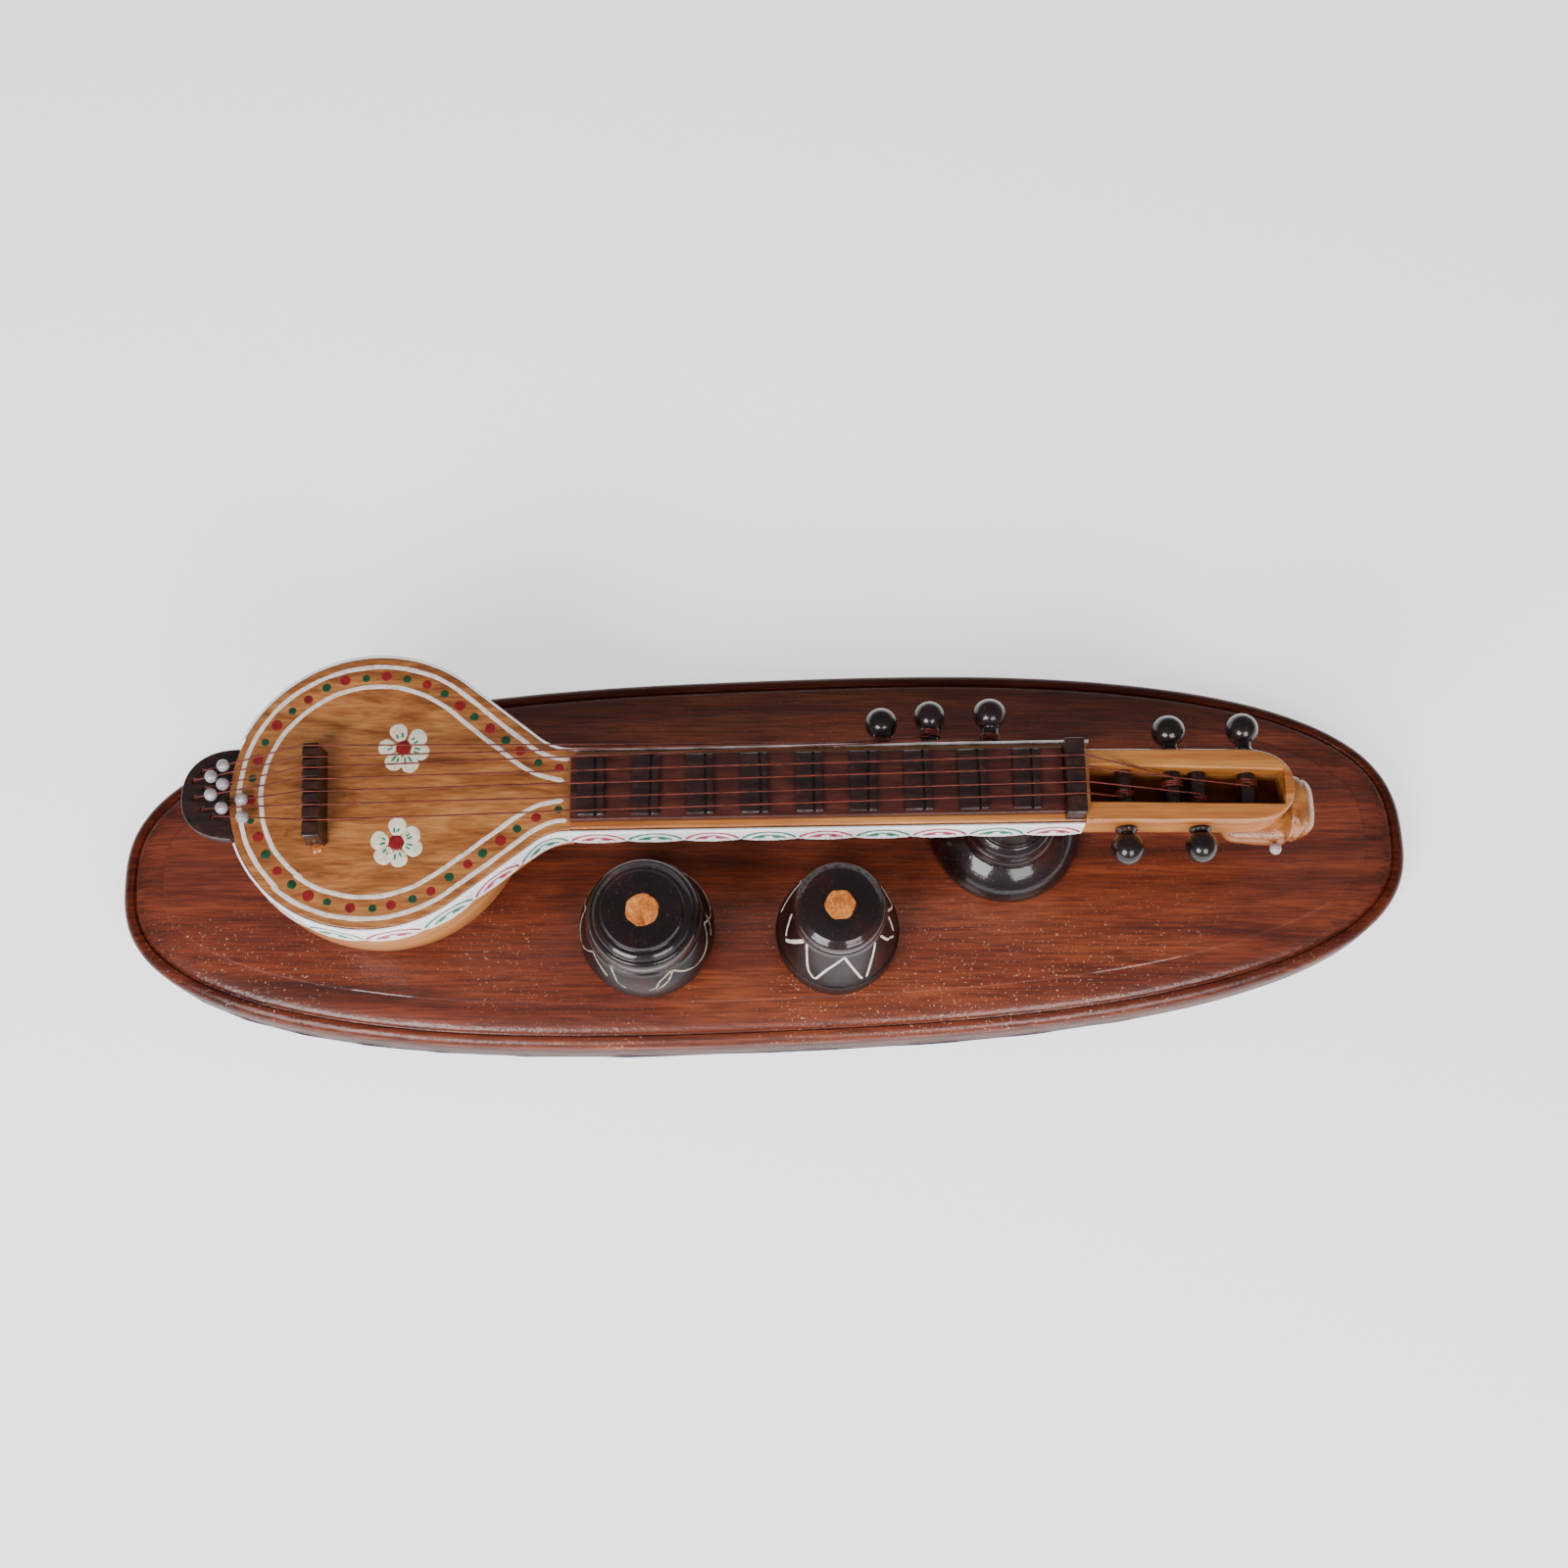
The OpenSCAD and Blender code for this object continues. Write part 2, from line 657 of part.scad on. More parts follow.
// ---- pegs ----

function peg_face(i) = i < 3 ? band_outer_y(pegs[i][0]) : pegbox_y + pegs[i][1] * pegbox_half;
function peg_tip(i) = i < 3 ?
    neck_far_y(pegs[i][0]) - drone_socket + 0.3 :
    pegbox_y - pegs[i][1] * (channel_half + 2.9);
// The string's place across each peg, and the string that winds on it
function peg_string_y(i) = i < 3 ? drone_ends[i][1] : [for (e = melody_ends) if (e[2] == i + 1) e[1]][0];

module on_peg(i) {
    translate([pegs[i][0], 0, peg_z(i)])
    rotate([-90, 0, 0])
    children();
}

module peg(i) {
    k = i - 1;
    s = pegs[k][1];
    ball = pegs[k][2];
    reach = abs(ball - peg_tip(k));
    collar = abs(peg_face(k) + s * 0.3 - peg_tip(k));
    color("black")
    on_peg(k)
    translate([0, 0, peg_tip(k)])
    rotate([s > 0 ? 0 : 180, 0, 0]) {
        cylinder(r = peg_r, h = k < 3 ? reach : collar + 0.2, $fn = 48);
        if (k > 2) {
            translate([0, 0, collar])
            cylinder(r1 = peg_r + 0.5, r2 = peg_r - 0.3, h = 1, $fn = 48);
            translate([0, 0, collar + 0.5])
            cylinder(r = peg_r - 0.3, h = reach - collar - 0.5, $fn = 48);
        }
        translate([0, 0, reach])
        sphere(knob_r, $fn = 64);
    }
}

// The turns of wire, as one ribbed sleeve beside the straight wire's end
winding_pitch = wire_d + 0.03;
module winding(i) {
    k = i - 1;
    side_y = pegs[k][3];
    start = peg_string_y(k) + side_y * (wire_r + 0.05);
    steps = 6 * winding_turns;
    color("sienna")
    on_peg(k)
    translate([0, 0, start])
    rotate([side_y > 0 ? 0 : 180, 0, 0])
    rotate_extrude($fn = 48)
    polygon(concat(
        [[peg_r + 0.01, winding_turns * winding_pitch], [peg_r + 0.01, 0]],
        [for (j = [0:steps]) [
            peg_r + 0.01 + wire_r * (1 + abs(sin(180 * j / 6))),
            j / 6 * winding_pitch]]));
}

// ---- gourd and drums ----

module turned(profile, steps) {
    rotate_extrude($fn = 96)
    polygon(concat([[0, profile[0][1]]], curve(profile, steps), [[0, profile[len(profile) - 1][1]]]));
}

module neck_gourd() {
    r = gourd_r;
    h = neck_base_z - board_top;
    color("black")
    translate([gourd_x, neck_y(gourd_x), board_top])
    turned([
        [r - 0.9, 0], [r - 0.15, 0.9], [r, 2.2], [r - 0.5, 4.2], [r - 1.9, 6.3], [r - 3.8, 8.1],
        [r - 5.6, 9.3], [r - 6.1, 9.5], [r - 6.2, 10.3], [r - 6.9, 11.2], [r - 7.3, 11.4],
        [r - 7.1, 12.2], [r - 7.3, 13.6], [r - 8.6, 15], [r - 9.3, 15.4], [r - 9.4, 18],
        [r - 9.1, h - 4], [r - 8.8, h - 1.4], [r - 8.7, h]], 3);
}

// A drum: its outside, less a bore for the plug that runs from the board to its top
module drum(profile, height, plug_r) {
    difference() {
        turned(profile, 3);
        translate([0, 0, -1])
        cylinder(r = plug_r + 0.02, h = height + 2);
    }
}

bayan_at = [-26.5, inst_y - neck_half - bayan_r - 0.6];
dayan_at = [16.3, inst_y - neck_half - dayan_r - 1.2];

module bayan_body() {
    r = bayan_r;
    h = bayan_h;
    color("black")
    translate([bayan_at[0], bayan_at[1], board_top])
    drum([
        [r - 4.8, 0], [r - 3.2, 1.2], [r - 0.9, 6.4], [r, 12], [r - 0.7, h - 11.6],
        [r - 2.1, h - 7.6], [r - 2.8, h - 7], [r - 2.5, h - 6.2], [r - 2.7, h - 3.6],
        [r - 3.4, h - 2.5], [r - 4.2, h - 2.2], [r - 4.3, h - 1.4], [r - 5.2, h - 0.8],
        [r - 6, h - 0.7], [r - 6.5, h]], h, bayan_plug_r);
}

module bayan_plug() {
    color("peru")
    translate([bayan_at[0], bayan_at[1], board_top])
    cylinder(r = bayan_plug_r, h = bayan_h + 0.15);
}

module dayan_body() {
    r = dayan_r;
    h = dayan_h;
    color("black")
    translate([dayan_at[0], dayan_at[1], board_top])
    drum([
        [r - 1.4, 0], [r - 0.7, 1.8], [r, 6.8], [r - 0.1, 10], [r - 0.6, 10.6],
        [r - 0.6, 11.4], [r - 2.2, h - 11], [r - 3.6, h - 4.6], [r - 4.1, h - 4.1],
        [r - 3.8, h - 3.2], [r - 4.1, h - 1.5], [r - 5, h - 0.6], [r - 5.8, h]], h, dayan_plug_r);
}

module dayan_plug() {
    color("peru")
    translate([dayan_at[0], dayan_at[1], board_top])
    cylinder(r = dayan_plug_r, h = dayan_h + 0.15);
}

base_board();
base_backing();
resonator_bowl();
soundboard();
neck();
fingerboard();
for (i = [1:fret_count]) fret(i);
nut();
pegbox();
head_scroll();
head_eyes();
bridge();
tailpiece();
side_band_near();
side_band_far();
neck_gourd();
for (i = [1:7]) string(i);
for (i = [1:7]) peg(i);
for (i = [1:7]) winding(i);
for (i = [1:7]) bead(i);
bayan_body();
bayan_plug();
dayan_body();
dayan_plug();
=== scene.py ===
import math

import bpy
import numpy as np
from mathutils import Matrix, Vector
from mathutils.geometry import tessellate_polygon


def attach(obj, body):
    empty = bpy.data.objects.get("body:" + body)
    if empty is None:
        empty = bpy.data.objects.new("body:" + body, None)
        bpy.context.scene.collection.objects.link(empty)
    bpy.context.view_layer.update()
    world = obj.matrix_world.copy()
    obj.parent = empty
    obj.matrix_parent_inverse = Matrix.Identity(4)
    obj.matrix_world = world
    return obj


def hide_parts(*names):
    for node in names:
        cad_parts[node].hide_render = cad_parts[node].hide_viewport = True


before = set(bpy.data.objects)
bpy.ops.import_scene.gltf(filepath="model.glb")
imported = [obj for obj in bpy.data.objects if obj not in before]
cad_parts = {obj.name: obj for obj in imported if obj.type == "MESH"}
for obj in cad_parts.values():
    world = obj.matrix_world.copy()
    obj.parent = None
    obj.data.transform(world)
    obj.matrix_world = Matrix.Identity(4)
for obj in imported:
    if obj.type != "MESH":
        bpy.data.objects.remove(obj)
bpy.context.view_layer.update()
rng = np.random.default_rng(11)
scene = bpy.context.scene

# All lengths here are in millimetres until addMesh turns them into metres.

def ringShell(rings, loop=False, poles=None):
    # Quads between rings of equal point count, closed round each ring; ends are fans to a centre point
    rings = np.asarray(rings, float)
    m, n = rings.shape[:2]
    index = np.arange(m * n).reshape(m, n)
    nxt = np.roll(index, -1, axis=1)
    if loop:
        parts = [index, nxt, np.roll(nxt, -1, axis=0), np.roll(index, -1, axis=0)]
    else:
        parts = [index[:-1], nxt[:-1], nxt[1:], index[1:]]
    quads = np.stack(parts, -1).reshape(-1, 4)
    verts = rings.reshape(-1, 3)
    tris = np.zeros((0, 3), int)
    if not loop:
        ends = poles if poles is not None else (rings[0].mean(0), rings[-1].mean(0))
        verts = np.vstack([verts, ends])
        low = np.stack([np.full(n, m * n), nxt[0], index[0]], -1)
        high = np.stack([np.full(n, m * n + 1), index[-1], nxt[-1]], -1)
        tris = np.vstack([low, high])
    return outward((verts, quads, tris))


def outward(shell):
    # Faces are flipped when the signed volume of the shell is negative
    verts, quads, tris = shell
    every = np.vstack([quads[:, [0, 1, 2]], quads[:, [0, 2, 3]], tris]) if len(quads) else tris
    a, b, c = verts[every[:, 0]], verts[every[:, 1]], verts[every[:, 2]]
    if np.einsum("ij,ij->", a - verts[0], np.cross(b - verts[0], c - verts[0])) < 0:
        quads, tris = quads[:, ::-1], tris[:, ::-1]
    return verts, quads, tris


def joined(shells):
    verts, quads, tris, offset = [], [], [], 0
    for v, q, t in shells:
        verts.append(v)
        quads.append(q + offset)
        tris.append(t + offset)
        offset += len(v)
    return np.vstack(verts), np.vstack(quads), np.vstack(tris)


def addMesh(name, shells, look, body="root", nodes=(), angle=35.0, tone=None):
    # One object at the origin; look is its material; tone gives each point a value that its material reads
    shells = shells if isinstance(shells, list) else [shells]
    verts, quads, tris = joined(shells)
    mesh = bpy.data.meshes.new(name)
    mesh.from_pydata((verts * 0.001).tolist(), [], quads.tolist() + tris.tolist())
    mesh.polygons.foreach_set("use_smooth", np.ones(len(mesh.polygons), bool))
    mesh.set_sharp_from_angle(angle=math.radians(angle))
    if tone is not None:
        layer = mesh.attributes.new("tone", "FLOAT", "POINT")
        layer.data.foreach_set("value", np.clip(tone(verts), 0, 1).astype(np.float32))
    mesh.materials.append(look)
    obj = bpy.data.objects.new(name, mesh)
    scene.collection.objects.link(obj)
    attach(obj, body)
    if nodes:
        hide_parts(*nodes)
    return obj


def level(xy, z):
    # Plan points at one height, or at a height each
    return np.column_stack([xy, np.broadcast_to(z, len(xy))])


def circle(a, r=1.0):
    return np.column_stack([r * np.cos(a), r * np.sin(a)])


def spun(xy, degrees):
    c, s = math.cos(math.radians(degrees)), math.sin(math.radians(degrees))
    return np.column_stack([xy[:, 0] * c - xy[:, 1] * s, xy[:, 0] * s + xy[:, 1] * c])


def unit(v):
    return v / np.linalg.norm(v, axis=1, keepdims=True)


def runLength(path):
    return np.concatenate([[0], np.cumsum(np.linalg.norm(np.diff(path, axis=0), axis=1))])


def quarter(steps):
    return np.linspace(0, np.pi / 2, steps)


def eased(inset, z, r, steps=6):
    # (inset, height) of an edge rounded by r that ends level with z
    return [(inset + r * (1 - math.cos(t)), z - r * (1 - math.sin(t))) for t in quarter(steps)]


def endPull(y, half, r):
    # How far a section draws in near the rounded end of a bar
    e = max(0.0, abs(y) - half + r)
    return r - math.sqrt(max(0, r * r - e * e))


def corner(y, z, r, start, steps):
    # A quarter round of a section, as points of (y, z)
    return [(y + r * math.cos(t), z + r * math.sin(t)) for t in np.radians(np.linspace(start, start + 90, steps))]


def catmull(points, steps):
    # A Catmull-Rom curve through the points
    pts = np.asarray(points, float)
    pts = np.vstack([pts[0], pts, pts[-1]])
    out = []
    for i in range(1, len(pts) - 2):
        u = (np.arange(steps) / steps)[:, None]
        p0, p1, p2, p3 = pts[i - 1:i + 3]
        out.append(0.5 * (2 * p1 + (p2 - p0) * u + (2 * p0 - 5 * p1 + 4 * p2 - p3) * u ** 2
                          + (3 * p1 - p0 - 3 * p2 + p3) * u ** 3))
    return np.vstack(out + [pts[-2:-1]])


def lathe(profile, centre, sides=128, axis="z", wobble=None):
    # The profile of (radius, height) turned about an axis through centre
    profile = np.asarray(profile, float)
    poles = np.zeros((2, 3))
    heights = [profile[0, 1], profile[-1, 1]]
    keep = profile[:, 0] > 1e-6
    profile = profile[keep]
    a = np.linspace(0, 2 * np.pi, sides, endpoint=False)
    r = profile[:, :1] * (1 + (wobble(a)[None] if wobble else 0))
    c, s, h = r * np.cos(a), r * np.sin(a), np.repeat(profile[:, 1:], sides, 1)
    rings = np.stack([c, s, h], -1) if axis == "z" else np.stack([c, h, s], -1)
    poles[:, 2 if axis == "z" else 1] = heights
    return ringShell(rings + np.asarray(centre, float), poles=poles + np.asarray(centre, float))


def tube(path, radius, sides=10, ref=(0, 1, 0)):
    # Circles square to the path, with the reference direction kept in view
    path = np.asarray(path, float)
    along = np.gradient(path, axis=0)
    along = unit(along)
    side = np.cross(np.broadcast_to(np.asarray(ref, float), along.shape), along)
    side = unit(side)
    up = np.cross(along, side)
    a = np.linspace(0, 2 * np.pi, sides, endpoint=False)[None, :, None]
    r = np.broadcast_to(np.asarray(radius, float), (len(path),))[:, None, None]
    return ringShell(path[:, None] + r * (np.cos(a) * side[:, None] + np.sin(a) * up[:, None]))


def ribbon(path, normals, width, height=0.07, sink=0.1, taper=True):
    # A raised stroke of paint: six-point sections across the path, thinner towards both ends
    path, normals = np.asarray(path, float), np.asarray(normals, float)
    along = np.gradient(path, axis=0)
    across = np.cross(normals, along)
    across = unit(across)
    width = np.broadcast_to(np.asarray(width, float), (len(path),)).copy()
    if taper:
        s = runLength(path)
        end = np.minimum(s, s[-1] - s) / (0.5 * width.max())
        width *= 0.25 + 0.75 * np.sqrt(1 - (1 - np.clip(end, 0, 1)) ** 2)
    left = [(-0.5, -sink), (-0.5, 0.35 * height), (-0.3, height)]
    offs = left + [(-o, h) for o, h in left[::-1]]
    rings = [path + across * (o * width)[:, None] + normals * h for o, h in offs]
    return ringShell(np.stack(rings, 1))


def blob(outline, centre, z, height=0.09, sink=0.1):
    # A flat spot of paint: its outline drawn in towards the centre as it rises
    outline, centre = np.asarray(outline, float), np.asarray(centre, float)
    rings = []
    for scale, h in ((1, -sink), (1, 0.3 * height), (0.9, 0.8 * height), (0.7, height)):
        xy = centre + (outline - centre) * scale
        rings.append(level(xy, z + h))
    return ringShell(rings)


def roundRect(hx, hy, r, steps=6):
    pts = []
    for sx, sy, a0 in ((1, 1, 0), (-1, 1, np.pi / 2), (-1, -1, np.pi), (1, -1, 1.5 * np.pi)):
        pts.append(circle(quarter(steps) + a0, r) + (sx * (hx - r), sy * (hy - r)))
    return np.vstack(pts)


def block(x0, x1, y0, y1, z0, z1, r, foot=0.1):
    # A cuboid whose edges are rounded by r at the top and by foot at the bottom
    hx, hy, cx, cy = (x1 - x0) / 2, (y1 - y0) / 2, (x0 + x1) / 2, (y0 + y1) / 2
    low = [(foot * (1 - math.sin(t)), z0 + foot * (1 - math.cos(t))) for t in quarter(4)]
    out = []
    for inset, z in low + eased(0, z1, r):
        xy = roundRect(hx - inset, hy - inset, max(0.05, r - 0.8 * inset)) + (cx, cy)
        out.append(level(xy, z))
    return ringShell(out)


def turned(shell, degrees, centre=(0, 0)):
    verts, quads, tris = shell
    return level(spun(verts[:, :2] - centre, degrees) + centre, verts[:, 2]), quads, tris


def wave(x, seed, low=1.0, terms=4):
    # A smooth random curve between about -1 and 1
    r = np.random.default_rng(seed)
    total = np.zeros_like(np.asarray(x, float))
    for k in range(terms):
        size = r.uniform(0.4, 1)
        total += size * np.sin(np.asarray(x) * low * (k + 1) * r.uniform(0.7, 1.3) + r.uniform(0, 6.28)) / (k + 1)
    return total / 1.4


# Materials
def srgb(r, g, b):
    c = np.array([r, g, b]) / 255.0
    lin = np.where(c <= 0.04045, c / 12.92, ((c + 0.055) / 1.055) ** 2.4)
    return (float(lin[0]), float(lin[1]), float(lin[2]), 1.0)


def newLook(name, **settings):
    look = bpy.data.materials.new(name)
    look.use_nodes = True
    tree = look.node_tree
    shader = tree.nodes["Principled BSDF"]
    for key, value in settings.items():
        shader.inputs[key.replace("_", " ")].default_value = value
    return look, tree, shader


def addNode(tree, kind, values=None, **props):
    node = tree.nodes.new(kind)
    for key, value in props.items():
        setattr(node, key, value)
    for key, value in (values or {}).items():
        if isinstance(value, bpy.types.NodeSocket):
            tree.links.new(value, node.inputs[key])
        else:
            node.inputs[key].default_value = value
    return node


def place(tree, scale, turn=0.0):
    coords = addNode(tree, "ShaderNodeTexCoord")
    mapping = addNode(tree, "ShaderNodeMapping", {
        "Vector": coords.outputs["Object"], "Scale": scale, "Rotation": (0, 0, math.radians(turn))})
    return mapping.outputs["Vector"]


def noise(tree, vector, scale=1.0, detail=4.0, rough=0.55, distort=0.0):
    return addNode(tree, "ShaderNodeTexNoise", {
        "Vector": vector, "Scale": scale, "Detail": detail, "Roughness": rough, "Distortion": distort}).outputs["Fac"]


def ramp(tree, fac, stops):
    node = addNode(tree, "ShaderNodeValToRGB", {"Fac": fac})
    items = node.color_ramp.elements
    while len(items) < len(stops):
        items.new(0.5)
    for item, (position, colour) in zip(items, stops):
        item.position = position
        item.color = colour
    return node.outputs["Color"]


def greys(tree, fac, low, high, a=0.0, b=1.0):
    return ramp(tree, fac, [(low, (a, a, a, 1)), (high, (b, b, b, 1))])


def mix(tree, fac, first, second, kind="MIX"):
    node = addNode(tree, "ShaderNodeMixRGB", {"Fac": fac, "Color1": first, "Color2": second}, blend_type=kind)
    return node.outputs["Color"]


def bump(tree, height, strength, distance, normal=None):
    values = {"Height": height, "Strength": strength, "Distance": distance}
    if normal is not None:
        values["Normal"] = normal
    return addNode(tree, "ShaderNodeBump", values).outputs["Normal"]


def woodLook(name, stops, streak, grain, turn=0.0, grainDark=(0.55, 0.5, 0.45, 1), grainAmount=0.5,
             rough=0.35, coat=0.6, coatRough=0.12, speck=0.25, speckSize=2600.0, distort=0.6, stainAndShade=0.7, dustAndSparkle=0.0):
    # Long stretched noise gives the streaks, a finer one the grain, and a fine bump the uneven varnish;
    # where the tone is high the wood is darkened, as a stain and as painted shade, and its varnish is thin
    look, tree, shader = newLook(name, Coat_Roughness=coatRough)
    broad = noise(tree, place(tree, streak, turn), 1.0, 5.0, 0.6, distort)
    fine = noise(tree, place(tree, grain, turn), 1.0, 3.0, 0.6, 0.3)
    colour = ramp(tree, broad, [(position, srgb(*rgb)) for position, *rgb in stops])
    pores = greys(tree, fine, 0.36, 0.62, 1.0, 0.0)
    share = mix(tree, 1.0, pores, (grainAmount, grainAmount, grainAmount, 1), "MULTIPLY")
    dark = mix(tree, 1.0, colour, grainDark, "MULTIPLY")
    colour = mix(tree, share, colour, dark)
    if dustAndSparkle:
        # Painted sparkle highlights: bright grains in the varnish, thickest towards the lit front and in patches
        grains = greys(tree, noise(tree, place(tree, (1700,) * 3), 1.0, 2.0, 0.6), 0.655, 0.7, 0.0, dustAndSparkle)
        patches = greys(tree, noise(tree, place(tree, (34,) * 3), 1.0, 2.0, 0.5), 0.42, 0.62)
        across = addNode(tree, "ShaderNodeSeparateXYZ", {"Vector": place(tree, (1, 1, 1))}).outputs["Y"]
        lifted = addNode(tree, "ShaderNodeMath", {0: across, 1: 0.05}, operation="ADD").outputs["Value"]
        front = greys(tree, lifted, 0.012, 0.04, 1.0, 0.12)
        where = mix(tree, 1.0, mix(tree, 1.0, patches, front, "MULTIPLY"), grains, "MULTIPLY")
        colour = mix(tree, where, colour, srgb(238, 204, 172))
    tone = addNode(tree, "ShaderNodeAttribute", attribute_name="tone").outputs["Fac"]
    # Painted shade with stain: the colour darkens where the tone is high
    stainedAndShaded = mix(tree, 1.0, colour, (1 - stainAndShade, 0.93 - stainAndShade, 0.95 - stainAndShade, 1), "MULTIPLY")
    colour = mix(tree, tone, colour, stainedAndShaded)
    tree.links.new(colour, shader.inputs["Base Color"])
    tree.links.new(greys(tree, tone, 0.0, 1.0, coat, 0.15 * coat), shader.inputs["Coat Weight"])
    tree.links.new(greys(tree, tone, 0.0, 1.0, 0.35, 0.04), shader.inputs["Specular IOR Level"])
    tree.links.new(greys(tree, fine, 0.3, 0.7, rough + 0.12, rough - 0.06), shader.inputs["Roughness"])
    skin = noise(tree, place(tree, (speckSize,) * 3), 1.0, 2.0, 0.5)
    wavy = noise(tree, place(tree, (speckSize / 7,) * 3), 1.0, 2.0, 0.5)
    surface = bump(tree, fine, 0.15, 0.0002)
    tree.links.new(surface, shader.inputs["Normal"])
    varnish = bump(tree, wavy, speck, 0.0004, bump(tree, skin, speck, 0.0002))
    tree.links.new(varnish, shader.inputs["Coat Normal"])
    return look


woods = {
    "board": {
        "stops": [
            (0.26, 56, 18, 10), (0.38, 98, 38, 20), (0.52, 126, 54, 30), (0.66, 142, 68, 38), (0.84, 158, 84, 52)],
        "streak": (8, 95, 95), "grain": (85, 1500, 1500), "turn": -2.35, "grainDark": (0.3, 0.2, 0.16, 1),
        "grainAmount": 0.8, "rough": 0.42, "coat": 0.75, "coatRough": 0.16, "speck": 0.45, "speckSize": 1500.0,
        # The last two values darken the edges as stain and painted shade, and paint sparkle highlights into the
        # varnish
        "distort": 1.3, "stainAndShade": 0.6, "dustAndSparkle": 0.9},
    "bowl": {
        "stops": [(0.3, 150, 88, 38), (0.5, 184, 118, 60), (0.7, 206, 146, 88)],
        "streak": (22, 60, 260), "grain": (140, 420, 1800), "grainDark": (0.7, 0.6, 0.48, 1),
        "rough": 0.36, "coat": 0.7, "speck": 0.3},
    "top": {
        "stops": [(0.28, 112, 60, 24), (0.42, 148, 88, 42), (0.56, 176, 114, 62), (0.74, 194, 134, 80)],
        "streak": (28, 150, 60), "grain": (190, 1500, 400), "turn": 3.0, "grainDark": (0.58, 0.46, 0.34, 1),
        "grainAmount": 0.8, "rough": 0.4, "coat": 0.5, "coatRough": 0.18, "speck": 0.4, "speckSize": 1800.0,
        "distort": 2.0},
    "neck": {
        "stops": [(0.3, 146, 82, 32), (0.5, 180, 112, 52), (0.7, 204, 142, 78)],
        "streak": (12, 260, 260), "grain": (90, 2200, 2200), "turn": 1.0, "grainDark": (0.66, 0.54, 0.4, 1),
        "grainAmount": 0.55, "rough": 0.36, "coat": 0.7, "speck": 0.35},
    "head": {
        "stops": [(0.3, 110, 56, 22), (0.5, 164, 96, 42), (0.7, 200, 134, 70)],
        "streak": (60, 160, 260), "grain": (260, 1200, 1600), "grainDark": (0.6, 0.5, 0.4, 1),
        "grainAmount": 0.7, "rough": 0.34, "coat": 0.8, "coatRough": 0.1, "speck": 0.6},
    "finger": {
        "stops": [(0.3, 40, 12, 9), (0.5, 70, 24, 18), (0.7, 92, 42, 32)],
        "streak": (60, 400, 400), "grain": (300, 2400, 2400), "turn": 1.0, "grainDark": (0.5, 0.42, 0.38, 1),
        "grainAmount": 0.6, "rough": 0.4, "coat": 0.5, "coatRough": 0.16, "speck": 0.5, "speckSize": 1700.0},
    "fret": {
        "stops": [(0.3, 20, 9, 9), (0.55, 44, 20, 18), (0.75, 70, 34, 28)],
        "streak": (200, 600, 600), "grain": (900, 1800, 1800), "turn": 1.0, "grainDark": (0.5, 0.45, 0.42, 1),
        "grainAmount": 0.6, "rough": 0.42, "coat": 0.5, "speck": 0.6, "speckSize": 1500.0},
    "bridge": {
        "stops": [(0.3, 20, 7, 6), (0.5, 44, 17, 13), (0.72, 74, 34, 24)],
        "streak": (300, 500, 500), "grain": (900, 1800, 1800), "grainDark": (0.5, 0.45, 0.42, 1),
        "grainAmount": 0.6, "rough": 0.4, "coat": 0.6, "speck": 0.7, "speckSize": 1500.0},
    "tail": {
        "stops": [(0.3, 18, 7, 7), (0.55, 40, 16, 14), (0.75, 66, 30, 26)],
        "streak": (200, 500, 500), "grain": (700, 1800, 1800), "grainDark": (0.5, 0.45, 0.42, 1),
        "grainAmount": 0.6, "rough": 0.42, "coat": 0.5, "coatRough": 0.14, "speck": 0.6, "speckSize": 1500.0},
    "raw": {
        "stops": [(0.3, 150, 78, 26), (0.5, 206, 122, 50), (0.7, 232, 156, 80)],
        "streak": (400, 400, 80), "grain": (1500, 1500, 400), "grainDark": (0.6, 0.45, 0.32, 1),
        "grainAmount": 0.8, "rough": 0.75, "coat": 0.0, "coatRough": 0.5, "speck": 0.0}}
looks = {key: woodLook(key + "Wood", **values) for key, values in woods.items()}


def lacquerLook():
    # Black lacquer with a brown cast, fine turning rings, dust and an uneven skin
    look, tree, shader = newLook(
        "blackLacquer", Roughness=0.4, Specular_IOR_Level=0.15, Coat_Roughness=0.06, Coat_IOR=1.42)
    patches = noise(tree, place(tree, (90, 90, 160)), 1.0, 4.0, 0.6)
    colour = ramp(tree, patches, [(0.35, srgb(14, 7, 7)), (0.55, srgb(26, 11, 10)), (0.72, srgb(52, 16, 11))])
    dustAndSparkle = greys(tree, noise(tree, place(tree, (2300,) * 3), 1.0, 2.0, 0.6), 0.66, 0.72)
    colour = mix(tree, mix(tree, 1.0, dustAndSparkle, (0.5, 0.5, 0.5, 1), "MULTIPLY"), colour, srgb(120, 86, 74))
    tree.links.new(colour, shader.inputs["Base Color"])
    tone = addNode(tree, "ShaderNodeAttribute", attribute_name="tone").outputs["Fac"]
    tree.links.new(greys(tree, tone, 0.0, 1.0, 0.95, 0.12), shader.inputs["Coat Weight"])
    rings = noise(tree, place(tree, (30, 30, 1800)), 1.0, 2.0, 0.5)
    skin = noise(tree, place(tree, (1500,) * 3), 1.0, 2.0, 0.6)
    normal = bump(tree, skin, 0.25, 0.0001, bump(tree, rings, 0.16, 0.0002))
    tree.links.new(normal, shader.inputs["Normal"])
    tree.links.new(normal, shader.inputs["Coat Normal"])
    return look


def paintLook(name, light, dark, rough):
    # Hand paint with an uneven cover
    look, tree, shader = newLook(name, Roughness=rough, Coat_Weight=0.3, Coat_Roughness=0.2)
    cover = noise(tree, place(tree, (700,) * 3), 1.0, 3.0, 0.6)
    colour = ramp(tree, cover, [(0.32, srgb(*dark)), (0.55, srgb(*light))])
    tree.links.new(colour, shader.inputs["Base Color"])
    tree.links.new(bump(tree, cover, 0.3, 0.0001), shader.inputs["Normal"])
    return look


